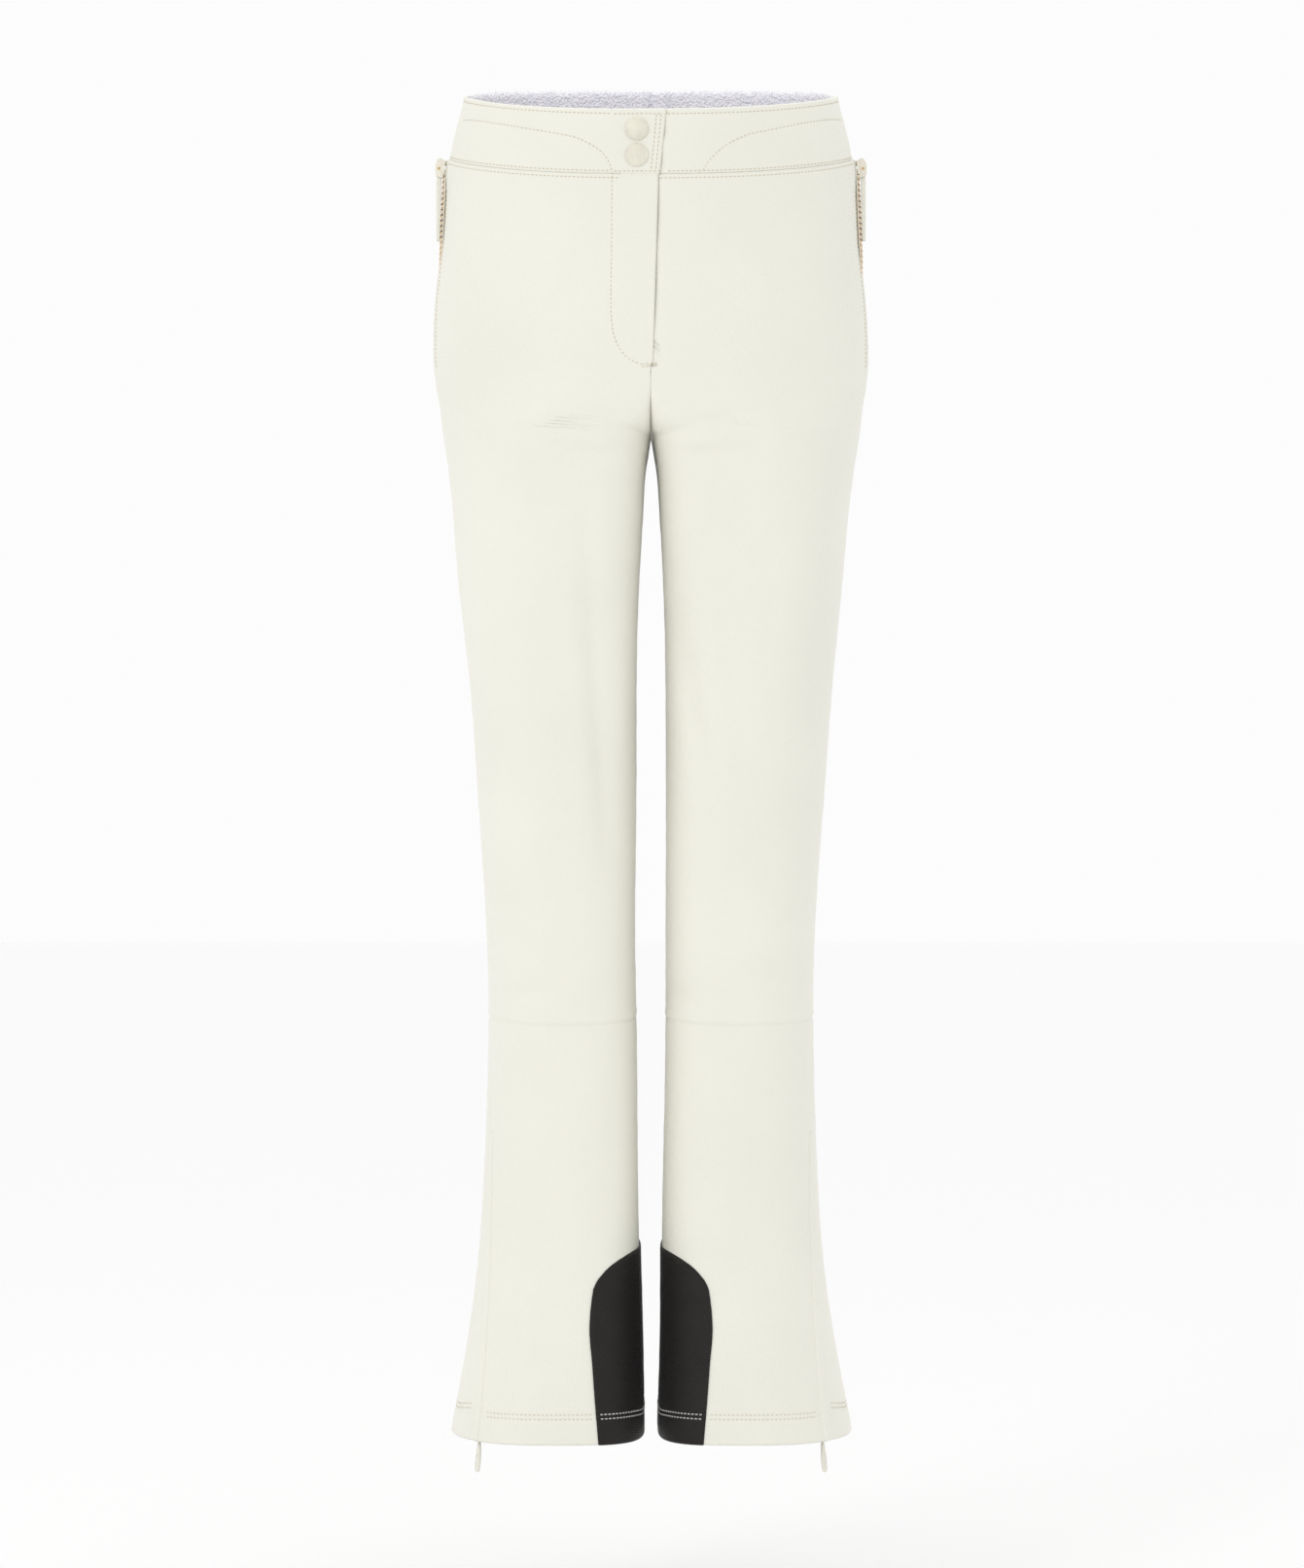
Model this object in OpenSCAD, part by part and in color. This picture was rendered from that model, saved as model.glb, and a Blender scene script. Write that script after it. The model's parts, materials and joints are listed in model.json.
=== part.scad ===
// Bootcut softshell ski pants: +Z up, front towards -Y, the wearer's left is +X.
// The origin is the centre of the waist opening, level with its side seams.

/* [Waist] */
// Half width of the waist opening between the side seams
waist_half_w = 150; // [146:1:156]
// How far the front of the waist dips below the sides
front_dip = 26; // [20:1:30]
// How far the back of the waist rises above the sides
back_rise = 18; // [12:1:24]
// Height of the waistband
band_h = 50; // [46:1:52]

/* [Hips and legs] */
// Half width over the hips at their widest
hip_half_w = 173; // [170:1:180]
// Depth of the hips in front of the side seams
hip_front = 106; // [104:1:110]
// Depth of the seat behind the side seams
hip_back = 118; // [112:1:126]
// Drop from the side of the waist to the crotch
crotch_drop = 275; // [270:1:280]
// Drop to the top of the rigid part of the thigh
thigh_drop = 332; // [330:1:345]
// Drop to the crease behind the knee
knee_drop = 650; // [640:1:660]
// Drop to the seam below the knee
knee_seam_drop = 740; // [735:1:745]
// Drop to the hem
hem_drop = 1070; // [1060:1:1080]
// Half width over both knees
knee_half_w = 131; // [128:1:136]
// Half width over both hems
hem_half_w = 161; // [156:1:168]

/* [Cloth] */
// Thickness of the bonded shell cloth
cloth_t = 2; // [1.6:0.1:2.2]
// Thickness of facings and linings
lining_t = 1; // [0.8:0.1:1.2]
// Gap between layers and across seams
layer_gap = 0.3; // [0.2:0.1:0.4]

/* [Fly] */
// Drop to the bottom of the fly
fly_drop = 228; // [220:1:232]
// Width of the fly flap at the waistband
fly_w = 36; // [32:1:38]
// How far the waist tab passes the centre line
tab_reach = 11; // [9:1:12]
// Diameter of a snap cap
snap_d = 18; // [16:0.5:19]
// Distance between the two snaps
snap_pitch = 20.5; // [19.5:0.5:22]

/* [Zips] */
// Width of one row of zip teeth
tooth_w = 2.6; // [2.4:0.1:2.8]
// Thickness of the zip teeth
tooth_t = 2.4; // [2.2:0.1:2.6]
// Pitch of the moulded teeth of the hand pockets
tooth_pitch = 4; // [3.6:0.1:5]
// Length of a hand pocket zip
pocket_zip_l = 158; // [150:1:162]
// Length of an ankle zip
ankle_zip_l = 228; // [222:1:232]
// Length of the fly zip
fly_zip_l = 140; // [136:1:144]
// Length of a hand pocket pull
pocket_pull_l = 50; // [40:1:54]
// Length of an ankle pull
ankle_pull_l = 25; // [20:1:30]

/* [Hidden] */
$fn = 48;

// Outlines as [drop below the waist, distance]: silhouette, gap between the legs, depths
OUTER = [[0, waist_half_w], [47, waist_half_w + 11], [78, hip_half_w - 8], [115, hip_half_w - 5.5],
  [172, hip_half_w], [266, hip_half_w - 4], [313, hip_half_w - 10.5], [391, 154], [470, 146],
  [548, 140], [626, 134], [745, knee_half_w], [861, knee_half_w + 2.5], [940, 140],
  [1018, hem_half_w - 10], [hem_drop, hem_half_w]];
INNER = [[crotch_drop, 0.5], [298, 4.3], [345, 7.4], [470, 11.4], [640, 12.1], [783, 11.4],
  [940, 9], [hem_drop, 6.7]];
FRONT = [[-20, hip_front - 2], [80, hip_front - 2], [172, hip_front], [235, hip_front - 2],
  [300, 99], [391, 92], [548, 82], [655, 76], [740, 73], [861, 75], [940, 81], [1018, 90],
  [hem_drop, 97]];
BACK = [[-20, 100], [60, 112], [140, hip_back], [210, hip_back], [275, 110], [391, 95],
  [548, 84], [655, 77], [740, 76], [861, 80], [940, 86], [1018, 94], [hem_drop, 98]];
// Exponent of the sections, where 2 would be a plain ellipse; the inner side gets boxier to the hem
roundness = 2.3;
INNER_ROUNDNESS = [[knee_seam_drop, roundness], [940, 3], [hem_drop, 3.8]];
rise_top = fly_drop;
rise_ease = 1.5;
fold_gap = layer_gap;
// Linings stay clear of the flat facets of the cloth outside them
lining_depth = cloth_t + 1.3;
knee_fold_h = 86;
// Zips: the tapes, the gap between the two rows, the plates and post of a slider
tape_t = 0.7;
chain_gap = 1.6;
plate_t = 1.2;
plate_y = tooth_t / 2 + 0.4;
slider_w = 9;
slider_l = 15;
post_w = 0.9;
post_h = 4.5;
// The pin that holds a pull, its cheeks, and the eye and neck of the pull
pin_d = 1.4;
pin_y = 5.4;
cheek_t = 1;
cheek_h = 2.2;
cheek_gap = 0.4;
eye_d = 4.2;
eye_w = 3.4;
eye_gap = 0.8;
neck_l = 5;
neck_h = 3.2;
// Hand pockets: place of the zip round the side, its top, its lean, the gap for it, and the bag
pocket_s = 0.467;
pocket_z = -60;
pocket_lean = 6.7;
pocket_proud = 3;
pocket_gap = 6.5;
pocket_pull_w = 7;
pocket_pull_t = 1.8;
bag_s = [0.3, 0.435];
bag_z = [-92, -232];
bag_depth = 8;
// Fly: places across the front, and depths behind its outer face
underlap_x = [-30, 32];
underlap_depth = 5.6;
fly_zip_x = [-9, -3];
fly_zip_start = 9;
fly_depth = 11.8;
fly_tape_w = 13;
fly_pin_z = 2;
fly_pull_size = [32, 7, 1.5];
shield_x = [-28, 26];
shield_depth = fly_depth + 7;
panel_short = 16;
facing_short = 24;
// Snaps: place on the tab, cap, socket and stud
snap_x = -11;
snap_start = 15;
cap_h = 0.9;
cap_chamfer = 1.5;
socket_d = 11;
socket_h = 1.6;
socket_bore = 6.8;
socket_depth = 5.1;
stud_d = 4.8;
stud_h = 1.3;
stud_depth = 5.5;
// Ankles: depth and place of the zip at its low and top end, its welt and pull
ankle_depth = [12, 16];
ankle_pin_drop = 14.4;
ankle_z = -hem_drop + 12;
ankle_s = [0.375, 0.434];
ankle_tape_w = 11;
ankle_cheek_l = 9;
ankle_pull_w = 6;
ankle_pull_t = 1.8;
welt_half_s = 0.01;
welt_lift = 1.6;
welt_t = 1.4;
// Hem facing, gaiter and kick patch
facing_h = 23;
gaiter_depth = 19;
gaiter_z = [-905, -1040, -1056];
patch_z = -928;
patch_s = [-0.13, 0.06, 0.19];
patch_lift = 2.4;
patch_t = 0.9;
patch_curve_h = 70;

function mix(a, b, t) = a + (b - a) * t;
function clamp01(t) = min(max(t, 0), 1);
function unit(v) = v / norm(v);
function arc(c, r, exponent = roundness) = sign(c) * pow(abs(c), 2 / exponent) * r;
function at(v) = function(x) v;

function outer_x(z) = lookup(-z, OUTER);
function inner_x(z) = lookup(-z, INNER);

// Progress down the crotch curve: 0 above it and 1 below it
function rise(z) = pow(clamp01((-z - rise_top) / (crotch_drop - rise_top)), rise_ease);
// A point of the wearer's left half of the garment, off inside its outer face. s runs from the
// centre front or inside seam (0) round the outer side (0.5) to the centre back or inside seam (1)
function skin(s, z, off) = let (
    q = rise(z),
    t = s < 0 ? -s : s > 0.5 ? 1 - s : s,
    side = s < 0 || s > 0.5 ? 1 : -1,
    d = lookup(-z, side < 0 ? FRONT : BACK) - off,
    mid = (outer_x(z) + inner_x(z)) / 2 * q,
    edge = (inner_x(z) + off) * q,
    m = q / 4,
    lift = sqrt(1 - q * q),
    e = lookup(-z, INNER_ROUNDNESS),
    a = t < m ? 90 * t / m : 90 * (0.5 - t) / (0.5 - m))
  t < m
    ? [mid - arc(cos(a), mid - edge, e), side * (d * lift + arc(sin(a), d * (1 - lift), e)), z]
    : [mid + arc(cos(a), outer_x(z) - off - mid), side * arc(sin(a), d), z];
function outward(s, z) = let (t = skin(s + 0.01, z, 0) - skin(s - 0.01, z, 0)) unit([t.y, -t.x, 0]);
// The front of the hips by its distance from the centre line
function front_skin(x, z, off) =
  let (r = pow(abs(x) / (outer_x(z) - off), roundness), d = lookup(-z, FRONT) - off)
  [x, -d * pow(1 - r, 1 / roundness), z];
function s_at(x, z) = 0.5 - acos(pow(x / outer_x(z), roundness / 2)) / 180;

function waist_z(s) = -(front_dip + back_rise) / 2 * cos(180 * s)
  + (back_rise - front_dip) / 4 * (1 + cos(360 * s));
function band_z(s) = waist_z(s) - band_h;

// Edges of the fly: the crease that it folds on, and its free edges
function crease_x(z) = mix(tab_reach - fly_w - 6, -1, clamp01((-z - front_dip) / (fly_drop - front_dip)));
function tab_x(z) = mix(tab_reach, 6, clamp01((-z - front_dip) / band_h));
function fly_down(z) = clamp01((-z - front_dip - band_h) / (fly_drop - front_dip - band_h));
function fly_edge_x(z) = mix(5, 0.5, fly_down(z));
// The left front stands back from the flap, more so near the bottom where the flap turns in place
function left_edge_x(z) = fly_edge_x(z) + mix(0.8, 5, fly_down(z));

function patch(sa, sb, za, zb, off, ns, nz, bias) =
  [for (i = [0:nz]) [for (j = [0:ns])
    let (n = mix(sa(0), sb(0), j / ns), z = mix(za(n), zb(n), 1 - pow(1 - i / nz, bias)))
    skin(mix(sa(z), sb(z), j / ns), z, off)]];
function front_patch(xa, xb, za, zb, off, nx, nz) =
  [for (i = [0:nz]) [for (j = [0:nx])
    let (z = mix(za, zb, i / nz)) front_skin(mix(xa(z), xb(z), j / nx), z, off)]];

// A closed solid between two like grids of points; closed joins its last column to its first
module solid_sheet(outside, inside, closed = false) {
  rows = len(outside);
  cols = len(outside[0]);
  last = closed ? cols - 1 : cols - 2;
  n = rows * cols;
  function o(i, j) = i * cols + j % cols;
  function q(i, j) = n + o(i, j);
  function two(a, b, c, d) = [[a, b, c], [a, c, d]];
  quads = concat(
    [for (i = [0:rows - 2]) for (j = [0:last])
      each two(o(i, j), o(i, j + 1), o(i + 1, j + 1), o(i + 1, j))],
    [for (i = [0:rows - 2]) for (j = [0:last])
      each two(q(i, j), q(i + 1, j), q(i + 1, j + 1), q(i, j + 1))],
    [for (j = [0:last]) each two(o(0, j + 1), o(0, j), q(0, j), q(0, j + 1))],
    [for (j = [0:last]) each two(o(rows - 1, j), o(rows - 1, j + 1), q(rows - 1, j + 1), q(rows - 1, j))],
    [for (i = closed ? [] : [0:rows - 2]) each two(o(i, 0), o(i + 1, 0), q(i + 1, 0), q(i, 0))],
    [for (i = closed ? [] : [0:rows - 2])
      each two(o(i + 1, cols - 1), o(i, cols - 1), q(i, cols - 1), q(i + 1, cols - 1))]);
  polyhedron([for (g = [outside, inside]) for (r = g) each r], quads);
}

module cloth(sa, sb, za, zb, ns, nz, depth = 0, thick = cloth_t, bias = 1)
  solid_sheet(patch(sa, sb, za, zb, depth, ns, nz, bias),
    patch(sa, sb, za, zb, depth + thick, ns, nz, bias));

module front_cloth(xa, xb, za, zb, nx, nz, depth = 0, thick = cloth_t)
  solid_sheet(front_patch(xa, xb, za, zb, depth, nx, nz),
    front_patch(xa, xb, za, zb, depth + thick, nx, nz));

module leg_tube(za, zb, ns, nz, depth = 0, thick = cloth_t) {
  function ring(off) = [for (i = [0:nz]) [for (j = [0:ns - 1]) skin(j / ns, mix(za, zb, i / nz), off)]];
  solid_sheet(ring(depth), ring(depth + thick), true);
}

// Puts a child's +Z along up and its +Y outwards
module place(p, up, out) {
  z = unit(up);
  y = unit(out - (out * z) * z);
  x = cross(y, z);
  multmatrix([[x.x, y.x, z.x, p.x], [x.y, y.y, z.y, p.y], [x.z, y.z, z.z, p.z], [0, 0, 0, 1]])
    children();
}
module both() {
  children();
  mirror([1, 0, 0]) children();
}

// ---- zips: the slider is centred at the local origin, with the teeth running down from it ----
tape_edge = chain_gap / 2 + tooth_w;
module tape_pair(length, inner, outer)
  both() translate([inner, -tape_t / 2, -length]) cube([outer - inner, tape_t, length]);
module teeth_pair(length)
  both() for (i = [0:floor(length / tooth_pitch) - 1])
    translate([chain_gap / 2, -tooth_t / 2, -length + i * tooth_pitch])
      cube([tooth_w, tooth_t, tooth_pitch * 0.6]);
module coil_pair(length)
  both() translate([chain_gap / 2 + tooth_w / 2, 0, -length]) cylinder(d = tooth_w * 0.9, h = length);
module slider_shell() {
  for (y = [plate_y, -plate_y - plate_t])
    translate([-slider_w / 2, y, -slider_l / 2]) cube([slider_w, plate_t, slider_l]);
  translate([-post_w / 2, -plate_y - plate_t / 2, slider_l / 2 - post_h - 0.5])
    cube([post_w, 2 * plate_y + plate_t, post_h]);
}
// Cheeks and pin that hold a pull, centred on the pin; reach is how far they go back to the slider
module bail(reach, lift) {
  cheek_x = eye_w / 2 + cheek_gap;
  for (x = [-cheek_x - cheek_t, cheek_x])
    translate([x, -reach, -cheek_h / 2]) cube([cheek_t, reach + cheek_h / 2, cheek_h + lift]);
  translate([-cheek_x - cheek_t, 0, 0]) rotate([0, 90, 0])
    cylinder(d = pin_d, h = 2 * (cheek_x + cheek_t));
}
module pull_eye()
  translate([-eye_w / 2, 0, 0]) rotate([0, 90, 0]) difference() {
    cylinder(d = eye_d, h = eye_w);
    translate([0, 0, -1]) cylinder(d = pin_d + eye_gap, h = eye_w + 2);
  }
module pull(length, width, thick) {
  pull_eye();
  translate([-eye_w / 2, -thick / 2, -neck_l]) cube([eye_w, thick, neck_h]);
  translate([0, thick / 2, -neck_l + 0.5]) rotate([90, 0, 0]) linear_extrude(thick) hull() {
    translate([-eye_w / 2, -1]) square([eye_w, 1]);
    translate([-width / 2, -length + width + 1]) square([width, 2]);
    translate([0, -length + neck_l + width / 2]) circle(d = width, $fn = 32);
  }
}

// ---- places of the zips on the wearer's left ----
pocket_out = outward(pocket_s, -130);
pocket_top = skin(pocket_s, pocket_z, -pocket_proud);
pocket_up = [0, 0, pocket_zip_l] - pocket_out * pocket_lean;
pocket_pin = pocket_top + pocket_out * pin_y;
ankle_low = skin(ankle_s[0], ankle_z, ankle_depth[0]);
ankle_top = skin(ankle_s[1], ankle_z + ankle_zip_l, ankle_depth[1]);
ankle_out = outward(ankle_s[0], ankle_z);
tab_low = -front_dip - band_h;
fly_top = front_skin(fly_zip_x[0], tab_low - fly_zip_start, fly_depth);
fly_low = front_skin(fly_zip_x[1], tab_low - fly_zip_start - fly_zip_l, fly_depth);

module in_pocket_zip() place(pocket_top, pocket_up, pocket_out) children();
module in_ankle_zip() place(ankle_low, ankle_top - ankle_low, ankle_out) children();
module at_ankle_pin() in_ankle_zip() translate([0, pin_y, -ankle_pin_drop]) children();
module in_fly_zip() place(fly_top, fly_top - fly_low, [0, -1, 0]) children();

// ---- waist ----
module waist_strip(sa, sb, ns, depth, thick)
  cloth(sa, sb, function(s) waist_z(s), function(s) band_z(s) + layer_gap, ns, 2, depth, thick);
module waistband_left() color("ivory")
  waist_strip(function(z) s_at(tab_x(z) + 0.5, z), at(0.5 - 0.002), 9, 0, cloth_t);
module waistband_right() color("ivory")
  mirror([1, 0, 0]) waist_strip(function(z) s_at(1 - crease_x(z), z), at(0.5 - 0.002), 9, 0, cloth_t);
module waistband_back() color("ivory")
  both() waist_strip(at(0.5), at(1), 10, 0, cloth_t);
module waistband_lining() color("lavender") {
  waist_strip(function(z) s_at(tab_x(z) + 0.5, z), at(1), 24, lining_depth, lining_t);
  mirror([1, 0, 0])
    waist_strip(function(z) s_at(1 - crease_x(z), z), at(1), 24, lining_depth, lining_t);
}

// ---- hips ----
function seam_half(z) = z > pocket_z - pocket_zip_l - 8 ? pocket_gap / 320 : 0.001;
module hip_front(edge) cloth(edge, function(z) pocket_s - seam_half(z), function(s) band_z(s),
    at(-crotch_drop + 0.1), 9, 9, bias = 1.4);
module hip_front_left() color("ivory")
  hip_front(function(z) z > -fly_drop ? s_at(left_edge_x(z), z) : 0);
module hip_front_right() color("ivory")
  mirror([1, 0, 0]) hip_front(function(z) z > -fly_drop ? s_at(1 - crease_x(z), z) : 0);
module hip_back_left() color("ivory")
  cloth(function(z) pocket_s + seam_half(z), at(1), function(s) band_z(s), at(-crotch_drop + 0.1),
    10, 8, bias = 1.4);
module hip_back_right() color("ivory") mirror([1, 0, 0]) hip_back_left();

// ---- fly ----
module waist_tab() color("ivory")
  front_cloth(function(z) crease_x(z), function(z) tab_x(z), -front_dip, tab_low + layer_gap, 4, 2);
module fly_panel() color("ivory")
  front_cloth(function(z) crease_x(z), function(z) fly_edge_x(z), tab_low, -fly_drop + panel_short, 4, 4);
module fly_facing() color("lavender")
  front_cloth(function(z) crease_x(z) + 1, function(z) fly_edge_x(z) - 2, -front_dip - 1,
    -fly_drop + facing_short, 4, 5, cloth_t + layer_gap, lining_t);
module waist_underlap() color("ivory")
  front_cloth(at(underlap_x[0]), at(underlap_x[1]), -front_dip - 1, tab_low, 6, 2, underlap_depth);
module fly_shield() color("lavender")
  front_cloth(at(shield_x[0]), at(shield_x[1]), tab_low - 1, -fly_drop - 4, 6, 4, shield_depth,
    lining_t);
module fly_tape() color("ivory") in_fly_zip() tape_pair(fly_zip_l, tape_edge, fly_tape_w);
module fly_coil() color("ivory") in_fly_zip() coil_pair(fly_zip_l);
module fly_slider() color("silver") in_fly_zip() {
  slider_shell();
  translate([0, pin_y, fly_pin_z]) bail(pin_y - plate_y - 0.3, 0);
}
module fly_pull() color("silver") in_fly_zip() translate([0, pin_y, fly_pin_z])
  pull(fly_pull_size[0], fly_pull_size[1], fly_pull_size[2]);

module snap_at(i, off) translate(front_skin(snap_x, -front_dip - snap_start - i * snap_pitch, off))
  rotate([90, 0, 0]) children();
module snap_caps() color("beige") for (i = [0, 1]) snap_at(i, -0.1) {
  cylinder(d = snap_d, h = cap_h);
  translate([0, 0, cap_h]) cylinder(d1 = snap_d, d2 = snap_d - 2 * cap_chamfer, h = cap_h);
}
module snap_sockets() color("silver") for (i = [0, 1]) snap_at(i, socket_depth) difference() {
  cylinder(d = socket_d, h = socket_h);
  translate([0, 0, -1]) cylinder(d = socket_bore, h = socket_h + 0.5);
}
module snap_studs() color("silver")
  for (i = [0, 1]) snap_at(i, stud_depth) cylinder(d = stud_d, h = stud_h);

// ---- hand pockets ----
module pocket_bag_left() color("lavender")
  cloth(at(bag_s[0]), at(bag_s[1]), at(bag_z[0]), at(bag_z[1]), 5, 5, bag_depth, lining_t);
module pocket_tape_left() color("ivory")
  in_pocket_zip() tape_pair(pocket_zip_l, tape_edge, pocket_gap - 0.5);
module pocket_teeth_left() color("wheat") in_pocket_zip() teeth_pair(pocket_zip_l);
module pocket_slider_left() color("wheat") {
  in_pocket_zip() slider_shell();
  place(pocket_pin, [0, 0, 1], pocket_out) bail(pin_y - plate_y - 0.5, 0);
}
module pocket_pull_left() color("ivory")
  place(pocket_pin, [0, 0, 1], pocket_out) pull(pocket_pull_l + 4, pocket_pull_w, pocket_pull_t);
module pocket_bag_right() color("lavender") mirror([1, 0, 0]) pocket_bag_left();
module pocket_tape_right() color("ivory") mirror([1, 0, 0]) pocket_tape_left();
module pocket_teeth_right() color("wheat") mirror([1, 0, 0]) pocket_teeth_left();
module pocket_slider_right() color("wheat") mirror([1, 0, 0]) pocket_slider_left();
module pocket_pull_right() color("ivory") mirror([1, 0, 0]) pocket_pull_left();

// ---- legs ----
fold_top = -crotch_drop - fold_gap;
knee_top = -knee_drop + knee_fold_h;
knee_low = -knee_seam_drop;
module hip_fold_left() color("ivory") leg_tube(fold_top, -thigh_drop + fold_gap, 24, 2);
module thigh_front_left() color("ivory")
  cloth(at(0), at(0.499), at(-thigh_drop), at(knee_top), 12, 4);
module thigh_back_left() color("ivory") cloth(at(0.5), at(1), at(-thigh_drop), at(knee_top), 12, 4);
module knee_fold_left() color("ivory") leg_tube(knee_top - fold_gap, knee_low + fold_gap, 24, 3);
function zip_s(z) = mix(ankle_s[0], ankle_s[1], clamp01((z - ankle_z) / ankle_zip_l));
module shin_front_left() color("ivory")
  cloth(at(0), function(z) zip_s(z) - 0.001, at(knee_low), at(-hem_drop), 14, 8);
module shin_back_left() color("ivory")
  cloth(function(z) zip_s(z) + 0.001, at(1), at(knee_low), at(-hem_drop), 20, 8);
module hem_facing_left() color("ivory")
  leg_tube(-hem_drop + facing_h, -hem_drop + 0.5, 32, 1, lining_depth, lining_t);
function patch_front(z) = mix(patch_s[1], patch_s[2], sin(90 * clamp01((patch_z - z) / patch_curve_h)));
module kick_patch_left() color("black")
  cloth(at(patch_s[0]), function(z) patch_front(z), at(patch_z), at(-hem_drop), 14, 8, -patch_lift,
    patch_t);
module hip_fold_right() color("ivory") mirror([1, 0, 0]) hip_fold_left();
module thigh_front_right() color("ivory") mirror([1, 0, 0]) thigh_front_left();
module thigh_back_right() color("ivory") mirror([1, 0, 0]) thigh_back_left();
module knee_fold_right() color("ivory") mirror([1, 0, 0]) knee_fold_left();
module shin_front_right() color("ivory") mirror([1, 0, 0]) shin_front_left();
module shin_back_right() color("ivory") mirror([1, 0, 0]) shin_back_left();
module hem_facing_right() color("ivory") mirror([1, 0, 0]) hem_facing_left();
module kick_patch_right() color("black") mirror([1, 0, 0]) kick_patch_left();

// ---- ankle zips and gaiters ----
module ankle_welt_left() color("ivory")
  cloth(function(z) zip_s(z) - welt_half_s, function(z) zip_s(z) + welt_half_s,
    at(ankle_z + ankle_zip_l), at(-hem_drop + 1), 2, 5, -welt_lift, welt_t);
module ankle_tape_left() color("ivory")
  in_ankle_zip() translate([0, 0, ankle_zip_l]) tape_pair(ankle_zip_l - 2, tape_edge, ankle_tape_w);
module ankle_coil_left() color("ivory")
  in_ankle_zip() translate([0, 0, ankle_zip_l]) coil_pair(ankle_zip_l - 2);
module ankle_slider_left() color("darkgoldenrod") {
  in_ankle_zip() slider_shell();
  at_ankle_pin() bail(pin_y - plate_y - 1, ankle_cheek_l);
}
module ankle_pull_left() color("ivory")
  at_ankle_pin() pull(ankle_pull_l, ankle_pull_w, ankle_pull_t);
module gaiter_left() color("whitesmoke")
  leg_tube(gaiter_z[0], gaiter_z[1], 24, 2, gaiter_depth, lining_t);
module gaiter_elastic_left() color("black")
  leg_tube(gaiter_z[1] - layer_gap, gaiter_z[2], 24, 1, gaiter_depth - 0.5, lining_t + 1);
module ankle_welt_right() color("ivory") mirror([1, 0, 0]) ankle_welt_left();
module ankle_tape_right() color("ivory") mirror([1, 0, 0]) ankle_tape_left();
module ankle_coil_right() color("ivory") mirror([1, 0, 0]) ankle_coil_left();
module ankle_slider_right() color("darkgoldenrod") mirror([1, 0, 0]) ankle_slider_left();
module ankle_pull_right() color("ivory") mirror([1, 0, 0]) ankle_pull_left();
module gaiter_right() color("whitesmoke") mirror([1, 0, 0]) gaiter_left();
module gaiter_elastic_right() color("black") mirror([1, 0, 0]) gaiter_elastic_left();

waistband_left();
waistband_right();
waistband_back();
waistband_lining();
hip_front_left();
hip_front_right();
hip_back_left();
hip_back_right();
waist_underlap();
fly_shield();
fly_tape();
fly_coil();
fly_slider();
fly_pull();
waist_tab();
fly_panel();
fly_facing();
snap_caps();
snap_sockets();
snap_studs();
pocket_bag_left();
pocket_bag_right();
pocket_tape_left();
pocket_tape_right();
pocket_teeth_left();
pocket_teeth_right();
pocket_slider_left();
pocket_slider_right();
pocket_pull_left();
pocket_pull_right();
hip_fold_left();
hip_fold_right();
thigh_front_left();
thigh_front_right();
thigh_back_left();
thigh_back_right();
knee_fold_left();
knee_fold_right();
shin_front_left();
shin_front_right();
shin_back_left();
shin_back_right();
kick_patch_left();
kick_patch_right();
hem_facing_left();
hem_facing_right();
ankle_welt_left();
ankle_welt_right();
ankle_tape_left();
ankle_tape_right();
ankle_coil_left();
ankle_coil_right();
ankle_slider_left();
ankle_slider_right();
ankle_pull_left();
ankle_pull_right();
gaiter_left();
gaiter_right();
gaiter_elastic_left();
gaiter_elastic_right();
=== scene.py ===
"""Bootcut softshell ski pants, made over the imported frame: -Y is the front, +X the wearer's left."""
import json
import math

import bmesh
import bpy
import numpy as np
from mathutils import Matrix, Vector


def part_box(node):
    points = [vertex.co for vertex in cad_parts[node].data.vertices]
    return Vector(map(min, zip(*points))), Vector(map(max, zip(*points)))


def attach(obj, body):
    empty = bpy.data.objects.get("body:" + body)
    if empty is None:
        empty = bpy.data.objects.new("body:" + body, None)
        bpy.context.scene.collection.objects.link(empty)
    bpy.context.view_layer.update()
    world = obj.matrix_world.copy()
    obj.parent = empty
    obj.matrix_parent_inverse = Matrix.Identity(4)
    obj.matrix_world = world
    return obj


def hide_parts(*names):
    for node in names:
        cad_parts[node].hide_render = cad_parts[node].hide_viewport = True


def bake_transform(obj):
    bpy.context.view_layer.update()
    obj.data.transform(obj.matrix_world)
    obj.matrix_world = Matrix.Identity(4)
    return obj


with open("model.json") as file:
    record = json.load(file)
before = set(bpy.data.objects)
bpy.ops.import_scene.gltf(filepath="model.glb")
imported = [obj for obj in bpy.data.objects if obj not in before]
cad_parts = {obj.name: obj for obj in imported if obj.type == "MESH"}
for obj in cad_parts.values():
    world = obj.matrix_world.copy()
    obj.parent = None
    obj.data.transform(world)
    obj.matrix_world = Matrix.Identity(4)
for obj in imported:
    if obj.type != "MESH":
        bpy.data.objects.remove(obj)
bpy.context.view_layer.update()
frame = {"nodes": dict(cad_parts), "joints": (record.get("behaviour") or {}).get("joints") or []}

MM = 0.001
SIDES = {"left": 1, "right": -1}
joints = {joint["name"]: joint for joint in frame["joints"]}

# ---- sizes, in millimetres
def node_edge(node, corner, axis):
    """One coordinate of a node's box: corner 0 is the lowest, 1 the highest."""
    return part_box(node)[corner][axis] / MM


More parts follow.
